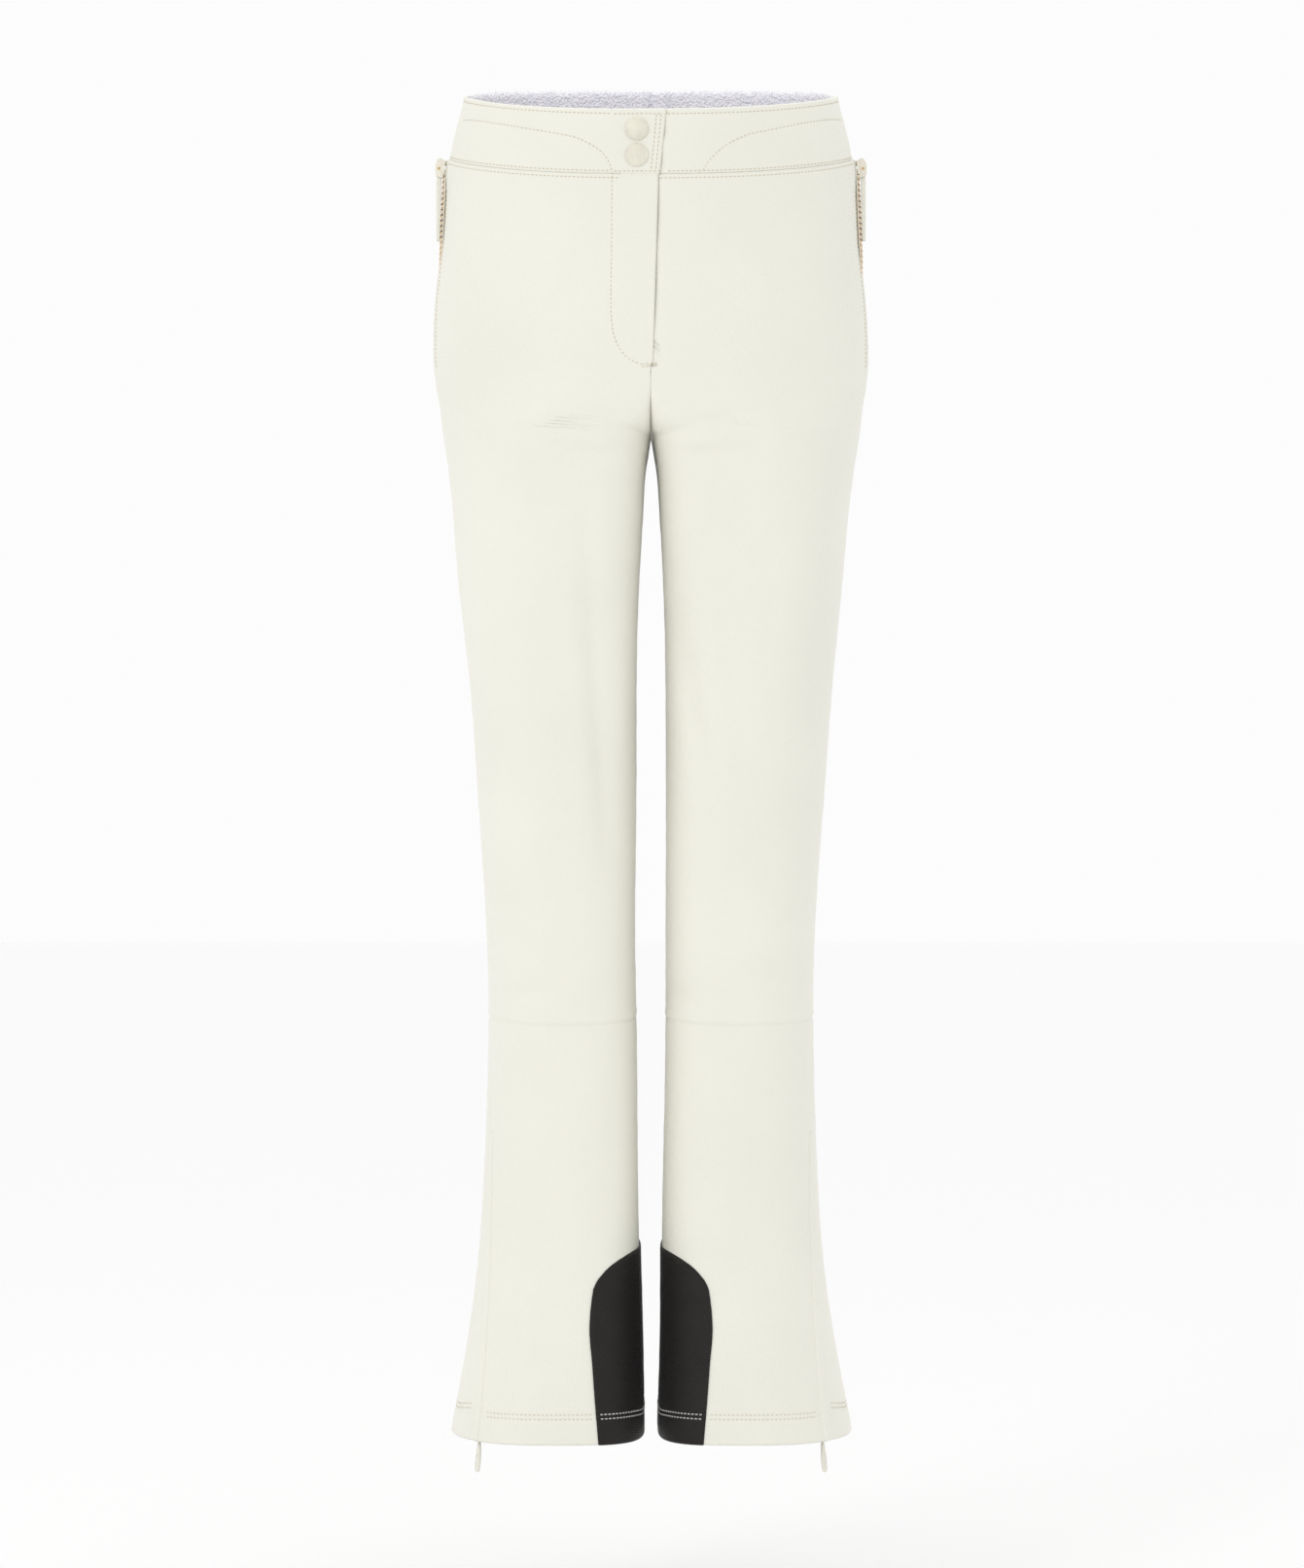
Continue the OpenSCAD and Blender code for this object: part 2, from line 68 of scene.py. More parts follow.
WAIST_TOP = node_edge("waist_tab", 1, 2)
FLY_DROP = 228.0
BAND_H = 50.0
BACK_RISE = node_edge("waistband_back", 1, 2)
CROTCH_DROP = 275.0
KNEE_SEAM = -node_edge("shin_front_left", 1, 2)
HEM_DROP = -node_edge("shin_front_left", 0, 2)
HIP_HALF = node_edge("hip_back_left", 1, 0)
HEM_HALF = node_edge("shin_back_left", 1, 0)
WAIST_HALF = 150.0
KNEE_HALF = 131.0
HIP_FRONT = 106.0
HIP_BACK = 118.0

# Outlines as [drop below the waist, distance], the same ones that the frame was drawn with
OUTER = [[-20, WAIST_HALF - 3], [0, WAIST_HALF], [47, WAIST_HALF + 11], [78, HIP_HALF - 8],
         [115, HIP_HALF - 5.5], [172, HIP_HALF], [266, HIP_HALF - 4], [313, HIP_HALF - 10.5],
         [391, 154], [470, 146], [548, 140], [626, 134], [745, KNEE_HALF], [861, KNEE_HALF + 2.5],
         [940, 140], [1018, HEM_HALF - 10], [HEM_DROP, HEM_HALF]]
INNER = [[CROTCH_DROP, 0.5], [298, 4.3], [345, 7.4], [470, 11.4], [640, 12.1], [783, 11.4],
         [940, 9], [HEM_DROP, 6.7]]
FRONT = [[-20, HIP_FRONT - 2], [80, HIP_FRONT - 2], [172, HIP_FRONT], [235, HIP_FRONT - 2], [300, 99],
         [391, 92], [548, 82], [655, 76], [740, 73], [861, 75], [940, 81], [1018, 90], [HEM_DROP, 97]]
BACK = [[-20, 100], [60, 112], [140, HIP_BACK], [210, HIP_BACK], [275, 110], [391, 95], [548, 84],
        [655, 77], [740, 76], [861, 80], [940, 86], [1018, 94], [HEM_DROP, 98]]
# Exponents of the sections: 2 is an ellipse, and the inner sides of the legs are boxier
ROUNDNESS = 2.3
INNER_ROUNDNESS = [[CROTCH_DROP, 5.0], [340, 4.6], [450, 3.8], [740, 3.3], [940, 3.3], [HEM_DROP, 3.9]]
CLOTH = 1.8
POCKET_S = 0.467
POCKET_ZIP_LOW = -218.0
ANKLE_ZIP_TOP = -830.0
ANKLE_S = (0.375, 0.434)


def smooth_table(points):
    """A smooth curve through [position, value] points."""
    x = np.array([p[0] for p in points], float)
    y = np.array([p[1] for p in points], float)
    slope = np.gradient(y, x)

    def value(at):
        at = np.clip(np.asarray(at, float), x[0], x[-1])
        i = np.clip(np.searchsorted(x, at) - 1, 0, len(x) - 2)
        h = x[i + 1] - x[i]
        t = (at - x[i]) / h
        return ((2 * t**3 - 3 * t**2 + 1) * y[i] + (t**3 - 2 * t**2 + t) * h * slope[i]
                + (3 * t**2 - 2 * t**3) * y[i + 1] + (t**3 - t**2) * h * slope[i + 1])
    return value


outer_x, inner_x, front_d, back_d, inner_round = (
    smooth_table(table) for table in (OUTER, INNER, FRONT, BACK, INNER_ROUNDNESS))


def mix(a, b, t):
    return a + (b - a) * t


def smoothstep(low, high, x):
    t = np.clip((np.asarray(x, float) - low) / (high - low), 0, 1)
    return t * t * (3 - 2 * t)


def arc(c, r, exponent=ROUNDNESS):
    return np.sign(c) * np.abs(c) ** (2 / exponent) * r


# ---- the bare surface
def skin(s, z):
    """The left half, as in the frame: s runs from the centre front round the side to the back."""
    s, z = np.broadcast_arrays(np.asarray(s, float), np.asarray(z, float))
    q = np.clip((-z - FLY_DROP) / (CROTCH_DROP - FLY_DROP), 0, 1) ** 1.5
    t = np.where(s < 0, -s, np.where(s > 0.5, 1 - s, s))
    # past the inside seam the leg's back begins, but past the centre front the other half's front
    is_back = ((s < 0) & (q > 0)) | (s > 0.5)
    side = np.where(is_back, 1.0, -1.0)
    across = np.where((s < 0) & (q <= 0), -1.0, 1.0)
    depth = np.where(is_back, back_d(-z), front_d(-z))
    out, gap = outer_x(-z), inner_x(-z)
    mid = (out + gap) / 2 * q
    edge = gap * q**4
    m = q / 4
    lift = np.sqrt(np.clip(1 - q * q, 0, 1))
    inside = t < m
    a_in = np.radians(90 * t / np.where(m > 0, m, 1))
    a_out = np.radians(90 * (0.5 - t) / (0.5 - m))
    e = inner_round(-z)
    x = np.where(inside, mid - arc(np.cos(a_in), mid - edge, e), mid + arc(np.cos(a_out), out - mid))
    y = side * np.where(inside, depth * lift + arc(np.sin(a_in), depth * (1 - lift), e),
                        arc(np.sin(a_out), depth))
    return np.stack([x * across, y, z], -1)


def s_at(x, z):
    """The s of a point on the front of the hips, x from the centre line."""
    r = np.clip(np.abs(x) / outer_x(-np.asarray(z, float)), 0, 1) ** (ROUNDNESS / 2)
    return np.sign(x) * (0.5 - np.degrees(np.arccos(r)) / 180)


def waist_z(s):
    s = np.abs(s)
    dip = -WAIST_TOP
    return (-(dip + BACK_RISE) / 2 * np.cos(np.pi * s)
            + (BACK_RISE - dip) / 4 * (1 + np.cos(2 * np.pi * s)))


def band_z(s):
    return waist_z(s) - BAND_H


def knee_z(s):
    """The seam below the knee dips a little at the middle of the front."""
    return -KNEE_SEAM - 3.5 * np.sin(2 * np.pi * np.clip(s, 0, 1)) ** 2


def ramp(start, stop, top, height):
    """A value that runs evenly from start to stop, over a height downwards from z = top."""
    return lambda z: mix(start, stop, np.clip((top - z) / height, 0, 1))


zip_s = ramp(ANKLE_S[1], ANKLE_S[0], 240 - HEM_DROP, 228)
crease_x = ramp(node_edge("waist_tab", 0, 0), -1, WAIST_TOP, FLY_DROP + WAIST_TOP)
tab_x = ramp(11, 6, WAIST_TOP, BAND_H)
fly_edge_x = ramp(5, 0.5, WAIST_TOP - BAND_H, FLY_DROP + WAIST_TOP - BAND_H)


def side_seam_s(z):
    return mix(POCKET_S, 0.5, smoothstep(225, 330, -z))


# ---- folds and seams in the surface
# Soft folds on the front and back: x1, z1, x2, z2, half width, height (negative is a hollow)
FRONT_FOLDS = [
    (-84, -277, -24, -288, 5, 1.5), (-76, -292, -28, -297, 5, -1.2), (-66, -262, -22, -276, 6, -1.0),
    (24, -286, 72, -281, 5, 1.4), (26, -296, 66, -293, 5, -1.1), (22, -274, 60, -262, 6, -0.9),
    (-52, -330, -33, -625, 9, -2.2), (-66, -340, -50, -600, 10, 1.2), (-20, -400, -22, -560, 8, 0.8),
    (21, -415, 47, -598, 9, -1.9), (40, -380, 60, -560, 10, 1.1), (96, -330, 88, -520, 12, -0.9),
    (-112, -722, -88, -716, 8, -2.2), (118, -706, 90, -700, 8, -2.2), (15, -722, 34, -716, 7, -1.6),
    (-60, -705, -24, -700, 9, 0.9), (56, -690, 80, -684, 8, 0.8), (-125, -640, -96, -655, 9, -1.2),
    (124, -655, 98, -668, 9, -1.2), (-70, -780, -58, -930, 11, 0.9), (72, -790, 62, -940, 11, 0.9),
    (-30, -770, -34, -900, 9, -0.8), (34, -790, 36, -900, 9, -0.8),
    (-60, -100, -90, -180, 14, 0.8), (70, -104, 96, -190, 14, 0.8),
]
BACK_FOLDS = [
    (-100, -268, -26, -292, 7, 2.4), (-90, -296, -22, -306, 6, -2.2), (-110, -244, -40, -268, 8, -1.8),
    (100, -268, 26, -292, 7, 2.4), (90, -296, 22, -306, 6, -2.2), (110, -244, 40, -268, 8, -1.8),
    (-118, -610, -36, -632, 8, -2.0), (-112, -640, -30, -650, 8, 1.8), (-108, -668, -36, -664, 8, -1.8),
    (118, -612, 36, -630, 8, -2.0), (112, -642, 30, -652, 8, 1.8), (108, -670, 36, -662, 8, -1.8),
    (-74, -340, -66, -560, 12, -1.3), (76, -340, 68, -560, 12, -1.3),
    (-70, -720, -72, -900, 12, 1.0), (72, -720, 74, -900, 12, 1.0),
]

# Rows of stitches: below the waist edge, above and below the waistband seam, and above the hem
TOP_ROW, BAND_ROW, UNDER_ROW = 3.2, 2.0, 3.4
HEM_ROWS = (19.0, 22.4)
# The curved seams of the front waistband and the J of stitches beside the fly, as [x, z] points
CURVE_RIGHT = [[-150, -24], [-117, -33.5], [-90, -40], [-71, -44], [-57.6, -47.6], [-46, -53.5],
               [-38, -59.4], [-33, -66.6], [-30, -76]]
CURVE_LEFT = [[152, -23], [124, -31], [96, -39], [77, -44], [59, -53], [46, -65], [40, -74]]
J_STITCH = [[-30.5, -77], [-30.8, -140], [-30.8, -188], [-29.5, -200], [-25, -212], [-16, -221.5],
            [-6, -225.5], [4, -226]]
FRONT_PATHS = ((CURVE_RIGHT, 0.55), (CURVE_LEFT, 0.55), (J_STITCH, 0.35))
# How far the cloth beside a hand pocket zip is raised to meet it, by drop
POCKET_SWELL = smooth_table([[50, 0], [57, 2.6], [78, 1.7], [110, 1.5], [140, 1.3], [165, 1.2],
                             [190, 1.8], [205, 2.3], [218, 2.7], [231, 1.9], [256, 0]])
SWELL_END = -256
HALF_GIRTH = 460.0       # about what s from 0 to 1 measures round a hip
FOLD_GAIN = 1.5          # how much stronger the front folds are drawn than listed


def bell(distance, width):
    return np.exp(-((distance / width) ** 2))


def groove(distance, width, depth):
    return -depth * bell(distance, width)


def from_line(x, z, start, stop):
    """How far points lie from a line, and where on it, from 0 to 1, they are nearest."""
    (x1, z1), (x2, z2) = start, stop
    dx, dz = x2 - x1, z2 - z1
    t = np.clip(((x - x1) * dx + (z - z1) * dz) / (dx * dx + dz * dz), 0, 1)
    return np.hypot(x - x1 - t * dx, z - z1 - t * dz), t


def fold_height(x, z, folds):
    total = np.zeros_like(x)
    for x1, z1, x2, z2, width, height in folds:
        away, t = from_line(x, z, (x1, z1), (x2, z2))
        total += height * (0.35 + 2.6 * t * (1 - t)) * bell(away, width)
    return total


def ripple(along, seed):
    """Uneven puckers along a seam, from -1 to 1."""
    waves = ((4.1, 1), (6.7, 2.3), (2.9, 4.1))
    return sum(np.sin(along / length + turn * seed) for length, turn in waves) / 3


def relief(side, s, z, point):
    """How far the cloth stands out of the bare surface, in millimetres."""
    x = point[..., 0] * side
    y = point[..., 1]
    facing_front = smoothstep(10, -30, y)
    height = facing_front * FOLD_GAIN * fold_height(x, z, FRONT_FOLDS)
    height += (1 - facing_front) * fold_height(x, z, BACK_FOLDS)
    phase = 1.7 * side
    below_band = smoothstep(-70, -110, z)
    height += below_band * 0.5 * np.sin(x / 31 + z / 55 + phase) * np.sin(z / 83 + 2 * phase)
    height += below_band * 0.35 * np.sin(x / 17 - z / 41 + 3 * phase + y / 37)
    # the waistband seam, the seam below the knee, the side seam and the inside or centre seams
    for line, width, puckers in ((band_z(s), 0.9, 0.25), (knee_z(s), 1.3, 0.35)):
        d = z - line
        height += groove(d, width, 1.0) + puckers * bell(d, 7) * ripple(s * HALF_GIRTH, 1.0)
    height += 0.5 * bell(z - knee_z(s) - 4, 3)
    d = (s - side_seam_s(z)) * HALF_GIRTH
    height += groove(d, 1.2, 0.8) + 0.3 * bell(d, 7) * ripple(z, 2.0)
    if z.max() > SWELL_END:
        height += POCKET_SWELL(-z) * bell(d, 13)
    d = np.minimum(np.abs(s), np.abs(1 - s)) * HALF_GIRTH
    height += smoothstep(-215, -240, z) * np.where(s > 0.5, groove(d, 1.2, 0.7), groove(d, 0.8, 0.15))
    height += np.where(s > 0.5, 0.2, 0.12) * bell(d, 7) * ripple(z, 3.0)
    # rows of stitches pull the cloth in along the waistband and the hem
    for line in (waist_z(s) - TOP_ROW, band_z(s) + BAND_ROW, band_z(s) - UNDER_ROW):
        height += groove(z - line, 1.0, 0.35)
    for up in HEM_ROWS:
        height += groove(z + HEM_DROP - up, 0.9, 0.45)
    if z.max() > -FLY_DROP:
        on_front = smoothstep(0, -10, y)
        for path, depth in FRONT_PATHS:
            away = np.min([from_line(x, z, *ends)[0] for ends in zip(path[:-1], path[1:])], axis=0)
            height += on_front * groove(away, 1.1, depth)
    height += 0.3 * bell(z + HEM_DROP - 10, 8) * ripple(s * HALF_GIRTH * 0.7, 4.0)
    return height


def surface(side, s, z, lift=0.0):
    """Points of the finished outer face, lift millimetres proud of it, and their outward normals."""
    s, z = np.broadcast_arrays(np.asarray(s, float), np.asarray(z, float))
    ds, dz = 0.003, 1.5
    bare = skin(s, z)
    across = skin(s + ds, z) - skin(s - ds, z)
    down = skin(s, z - dz) - skin(s, z + dz)
    normal = np.cross(down, across)
    normal /= np.linalg.norm(normal, axis=-1, keepdims=True) + 1e-12
    point = bare + normal * (relief(side, s, z, bare) + lift)[..., None]
    flip = np.array([side, 1, 1])
    return point * flip, normal * flip


# ---- mesh helpers
def link(name, data):
    """An object with the data, in the scene."""
    made = bpy.data.objects.new(name, data)
    bpy.context.scene.collection.objects.link(made)
    return made


def new_piece(name, vertices, faces, materials, face_material=None):
    """A mesh object from points in millimetres."""
    mesh = bpy.data.meshes.new(name)
    mesh.from_pydata((np.asarray(vertices, float) * MM).tolist(), [], [tuple(f) for f in faces])
    for material in materials:
        mesh.materials.append(material)
    if face_material is not None:
        mesh.polygons.foreach_set("material_index", np.asarray(face_material, np.int32))
    mesh.polygons.foreach_set("use_smooth", [True] * len(mesh.polygons))
    mesh.update()
    return link(name, mesh)


def cloth_sheet(name, outside, inside, materials, roll, wrap=False, flip=False):
    """A closed sheet between two grids of points. roll rounds its top, right, bottom and left edge."""
    rows, cols = outside.shape[:2]
    size = rows * cols
    index = np.arange(size).reshape(rows, cols)
    vertices = [outside.reshape(-1, 3), inside.reshape(-1, 3)]
    here, beside = (index, np.roll(index, -1, axis=1)) if wrap else (index[:, :-1], index[:, 1:])
    a, b, c, d = (corner.ravel() for corner in (here[:-1], beside[:-1], beside[1:], here[1:]))
    outer_faces = np.stack([a, d, c, b], -1)
    inner_faces = np.stack([a, b, c, d], -1) + size
    # the border, as runs of outer vertices with the sheet on their left, seen from outside
    top = [(0, j) for j in range(cols)]
    bottom = [(rows - 1, j) for j in range(cols - 1, -1, -1)]
    if wrap:
        loops = [(top, [roll[0]] * cols), (bottom, [roll[2]] * cols)]
    else:
        runs = (top, [(i, cols - 1) for i in range(rows)], bottom, [(i, 0) for i in range(rows - 1, -1, -1)])
        loops = [([place for run in runs for place in run[:-1]],
                  [amount for run, amount in zip(runs, roll) for _ in run[:-1]])]
    rim_faces, sharp = [], []
    count = 2 * size
    for loop, amounts in loops:
        rim = []
        for (i, j), amount in zip(loop, amounts):
            ni = min(max(i, 1), rows - 2)
            nj = j if wrap else min(max(j, 1), cols - 2)
            away = outside[i, j] - outside[ni, nj]
            away = away / (np.linalg.norm(away) + 1e-9)
            rim.append((outside[i, j] + inside[i, j]) / 2 + away * amount)
        vertices.append(np.array(rim))
        n = len(loop)
        for k in range(n):
            m = (k + 1) % n
            p, q = index[loop[k]], index[loop[m]]
            rim_faces += [(p, q, count + m, count + k), (count + k, count + m, q + size, p + size)]
            if amounts[k] == 0 and amounts[m] == 0:
                sharp += [(p, q), (p + size, q + size)]
        count += n
    faces = np.concatenate([outer_faces, inner_faces, np.array(rim_faces)])
    slots = np.zeros(len(faces), int)
    slots[len(outer_faces):2 * len(outer_faces)] = len(materials) > 1
    piece = new_piece(name, np.concatenate(vertices), faces[:, ::-1] if flip else faces, materials, slots)
    if sharp:
        wanted = {tuple(sorted(pair)) for pair in sharp}
        layer = piece.data.attributes.new("sharp_edge", "BOOLEAN", "EDGE")
        layer.data.foreach_set("value", [key in wanted for key in piece.data.edge_keys])
    return piece


def graded(length, step, *fine):
    """Fractions of a length from 0 to 1, closer together near each (place, radius, step) in fine."""
    places = [0.0]
    while places[-1] < length:
        here = places[-1]
        reach = step
        for place, radius, small in fine:
            if abs(here + small - place) < radius:
                reach = min(reach, small)
            elif here < place - radius:
                reach = min(reach, max(small, place - radius - here + small))
        places.append(here + reach)
    return np.array(places) / places[-1]


def raised_sheet(name, side, s, z, height, thick, materials, roll, wrap=False):
    """A sheet whose outer face stands height proud of the finished surface."""
    point, normal = surface(side, s, z)
    outside = point + normal * (np.zeros_like(z) + height)[..., None]
    return cloth_sheet(name, outside, outside - normal * thick, materials, roll, wrap, side < 0)


def panel(name, side, s_left, s_right, z_top, z_low, columns, rows, materials, lift=0.0,
          thick=CLOTH, roll=(0, 0, 0, 0), depth_under=None):
    """A sheet of cloth over a patch of the surface; edges are functions, columns and rows 0 to 1."""
    u, v = np.meshgrid(columns, rows)
    near_top = np.array(-100.0)
    nominal = mix(s_left(near_top), s_right(near_top), u)
    z = mix(z_top(nominal), z_low(nominal), v)
    s = mix(s_left(z), s_right(z), u)
    extra = depth_under(s, z) if depth_under else 0.0
    return raised_sheet(name, side, s, z, lift - extra, thick, materials, roll)


def always(value):
    return lambda other: np.zeros_like(np.asarray(other, float)) + value


# ---- materials
def set_inputs(tree, node, inputs):
    """Gives a shader node's inputs their values, or links them to a socket."""
    for key, value in inputs.items():
        if isinstance(value, bpy.types.NodeSocket):
            tree.links.new(value, node.inputs[key])
        else:
            node.inputs[key].default_value = value


def add(tree, kind, inputs, **settings):
    node = tree.nodes.new(kind)
    for key, value in settings.items():
        setattr(node, key, value)
    set_inputs(tree, node, inputs)
    return node


def shader(name, colour, roughness, sheen=0.0, metallic=0.0):
    material = bpy.data.materials.new(name)
    material.use_nodes = True
    tree = material.node_tree
    shade = tree.nodes["Principled BSDF"]
    set_inputs(tree, shade, {"Base Color": (*colour, 1), "Roughness": roughness, "Metallic": metallic,
                             "Sheen Weight": sheen, "Sheen Roughness": 0.5})
    return material, tree, shade


def noise(tree, place, scale, detail):
    inputs = {"Vector": place, "Scale": scale, "Detail": detail}
    return add(tree, "ShaderNodeTexNoise", inputs).outputs["Fac"]


def ribs(tree, place, turn, scale, distortion, detail, detail_scale):
    """Fine parallel ribs, along a direction that turn sets."""
    mapping = add(tree, "ShaderNodeMapping", {"Vector": place, "Rotation": turn})
    inputs = {"Vector": mapping.outputs["Vector"], "Scale": scale, "Distortion": distortion,
              "Detail": detail, "Detail Scale": detail_scale}
    return add(tree, "ShaderNodeTexWave", inputs, bands_direction="Z").outputs["Fac"]


def combine(tree, operation, first, second):
    return add(tree, "ShaderNodeMath", {0: first, 1: second}, operation=operation).outputs[0]


def tone(tree, shade, colour, scale, amount):
    """Slight patches of lighter and darker colour; gives the socket of the texture's place."""
    place = add(tree, "ShaderNodeTexCoord", {}).outputs["Object"]
    ramp_node = add(tree, "ShaderNodeValToRGB", {"Fac": noise(tree, place, scale, 4.0)})
    dark, light = ramp_node.color_ramp.elements
    dark.position, light.position = 0.3, 0.7
    dark.color = (*[c * (1 - amount) for c in colour], 1)
    light.color = (*[min(1, c * (1 + amount)) for c in colour], 1)
    set_inputs(tree, shade, {"Base Color": ramp_node.outputs["Color"]})
    return place


def bump(tree, shade, height, strength, distance):
    node = add(tree, "ShaderNodeBump", {"Height": height, "Strength": strength, "Distance": distance})
    set_inputs(tree, shade, {"Normal": node.outputs["Normal"]})


def softshell(colour):
    """Matt stretch cloth with a very fine cross weave."""
    material, tree, shade = shader("ivory_softshell", colour, 0.72, sheen=0.3)
    place = tone(tree, shade, colour, 9.0, 0.018)
    weave = [ribs(tree, place, (0, turn, turn), 260.0, 1.5, 1.0, 2.0) for turn in (0.6, -0.6)]
    both = combine(tree, "MULTIPLY", *weave)
    bump(tree, shade, combine(tree, "ADD", both, noise(tree, place, 900.0, 2.0)), 0.35, 0.0002)
    return material


def fleece(colour):
    """Brushed fleece back of the cloth, pale lilac."""
    material, tree, shade = shader("fleece", colour, 0.95, sheen=0.9)
    place = tone(tree, shade, colour, 160.0, 0.05)
    curls = add(tree, "ShaderNodeTexVoronoi", {"Vector": place, "Scale": 420.0}).outputs["Distance"]
    bump(tree, shade, combine(tree, "ADD", curls, noise(tree, place, 700.0, 5.0)), 0.9, 0.0012)
    return material


def twill(name, colour, scale, roughness, sheen=0.15, gloss=0.5):
    """Fine diagonal twill."""
    material, tree, shade = shader(name, colour, roughness, sheen=sheen)
    shade.inputs["Specular IOR Level"].default_value = gloss
    place = tone(tree, shade, colour, 60.0, 0.12)
    bump(tree, shade, ribs(tree, place, (0.5, 0.7, 0.2), scale, 0.8, 2.0, 3.0), 0.5, 0.0004)
    return material


def plain(name, colour, roughness, metallic=0.0, grain=500.0, depth=0.00008, spread=0.04):
    """Moulded, enamelled or metal parts with a fine grain."""
    material, tree, shade = shader(name, colour, roughness, metallic=metallic)
    place = tone(tree, shade, colour, 220.0, spread)
    bump(tree, shade, noise(tree, place, grain, 3.0), 0.3, depth)
    return material


ivory = softshell((0.815, 0.805, 0.72))
lining = fleece((0.93, 0.915, 0.985))
SHELL = [ivory, lining]
black_twill = twill("black_twill", (0.014, 0.012, 0.011), 230.0, 0.55, sheen=0.04, gloss=0.22)
cap_rib = twill("cap_rib", (0.79, 0.765, 0.65), 300.0, 0.6)
# The stitch thread's tan colour is partly the thread's own tone and partly painted shade: it is darker than
# the cloth to stand for the shadow along the stitch lines.
thread_tone_and_painted_shade = plain("thread_tone_and_painted_shade", (0.60, 0.54, 0.40), 0.6)
white_thread = plain("white_thread", (0.90, 0.88, 0.85), 0.5)
moulded = plain("moulded_teeth", (0.78, 0.62, 0.42), 0.35)
tape = twill("zip_tape", (0.80, 0.78, 0.70), 420.0, 0.8)
enamel = plain("cream_enamel", (0.80, 0.76, 0.66), 0.35, spread=0.06)
brass = plain("brass", (0.62, 0.44, 0.2), 0.35, metallic=1.0)
steel = plain("plated_steel", (0.62, 0.62, 0.62), 0.3, metallic=1.0)
pull_cream = plain("pull_cream", (0.78, 0.76, 0.68), 0.55, grain=900.0, depth=0.0002)
coil = plain("nylon_coil", (0.80, 0.78, 0.70), 0.45)
taffeta = twill("taffeta", (0.72, 0.72, 0.73), 600.0, 0.45)
elastic = twill("elastic", (0.03, 0.03, 0.03), 260.0, 0.8)


def over_hip(piece):
    """Bakes the piece's placement into its mesh; the piece is not bent."""
    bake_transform(piece)


def over_knee(piece):
    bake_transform(piece)


def over_fly(piece):
    """Bakes the piece's placement into its mesh; the piece is not bent along the crease."""
    top, low = (Vector((crease_x(z), 0, z)) * MM for z in (WAIST_TOP, -FLY_DROP))
    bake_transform(piece)


def fit(piece, slot, body, *nodes):
    """The CAD nodes that the piece replaces, and the body it rides, if one is given. slot is not used."""
    if nodes:
        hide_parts(*nodes)
    if body:
        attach(piece, body)


def declare(width, length):
    """The size of the flat sheet that a piece is made of, turned into metres; nothing records it."""
    width, length = width * MM, length * MM


# ---- thread
STITCH_PITCH, STITCH_LENGTH, STITCH_RADIUS = 3.4, 2.5, 0.3
# A stitch from end to end: where along it, its thickness and its height
STATIONS = [(-0.5, 0.45, -0.3), (-0.28, 1.0, 0.05), (0.28, 1.0, 0.05), (0.5, 0.45, -0.3)]


def thread(name, rows, material, lift=0.1, radius=STITCH_RADIUS):
    """Stitches along rows, each (side, s values, z values), as one mesh."""
    ring = np.array([(math.cos(a), math.sin(a)) for a in np.arange(6) * math.pi / 3])
    one = [(k + j, k + (j + 1) % 6, k + 6 + (j + 1) % 6, k + 6 + j) for k in (0, 6, 12) for j in range(6)]
    one += [tuple(range(5, -1, -1)), tuple(range(18, 24))]
    vertices, faces = [], []
    for side, s, z in rows:
        point, normal = surface(side, s, z, lift)
        run = np.concatenate([[0], np.cumsum(np.linalg.norm(np.diff(point, axis=0), axis=1))])
        centres = np.arange(STITCH_PITCH / 2, run[-1], STITCH_PITCH)
        at, up, ahead, behind = (
            np.stack([np.interp(centres + shift, run, values[:, k]) for k in range(3)], -1)
            for values, shift in ((point, 0), (normal, 0), (point, 0.5), (point, -0.5)))
        along = ahead - behind
        along /= np.linalg.norm(along, axis=1, keepdims=True) + 1e-9
        beside = np.cross(up, along)
        for c, n, t, b in zip(at, up, along, beside):
            faces += [tuple(i + 6 * len(vertices) for i in face) for face in one]
            for where, size, rise in STATIONS:
                centre = c + t * where * STITCH_LENGTH + n * rise
                vertices.append(centre + radius * size * (ring[:, :1] * b + ring[:, 1:] * n))
    return new_piece(name, np.concatenate(vertices), faces, [material])


def front_row(side, points):
    """A row over the front of the hips, a smooth curve through world [x, z] points."""
    points = np.array(points, float)
    run = np.concatenate([[0], np.cumsum(np.linalg.norm(np.diff(points, axis=0), axis=1))])
    at = np.linspace(0, run[-1], 120)
    x, z = (smooth_table(np.stack([run, points[:, k]], -1))(at) for k in (0, 1))
    return side, s_at(x * side, z), z


# ---- waistband
BAND_THICK = 2.4
band_rows = graded(BAND_H, 1.3, (0, 7, 0.8), (BAND_H, 8, 0.8))


def columns_for(length, step=2.2, fine=8.0, small=1.1):
    return graded(length, step, (0, fine, small), (length, fine, small))


def crease_s(z):
    return s_at(-crease_x(z), z)


def under_tab(s, z):
    """How far the left end of the waistband and of the front lie behind the flap."""
    x = skin(s, z)[..., 0]
    edge = np.where(z > WAIST_TOP - BAND_H, tab_x(z), fly_edge_x(z))
    return 3.4 * (1 - smoothstep(0.3, 3.0, x - edge)) * smoothstep(-228, -222, z)


UNDER = {1: under_tab, -1: None}


def waist_panel(name, side, s_left, s_right, length, flat, roll, body, *nodes, **more):
    piece = panel(name, side, s_left, s_right, waist_z, lambda s: band_z(s) + 0.2, columns_for(length),
                  band_rows, SHELL, thick=BAND_THICK, roll=roll, **more)
    fit(piece, "shell_cloth", body, *nodes)
    declare(flat, BAND_H)
    return piece


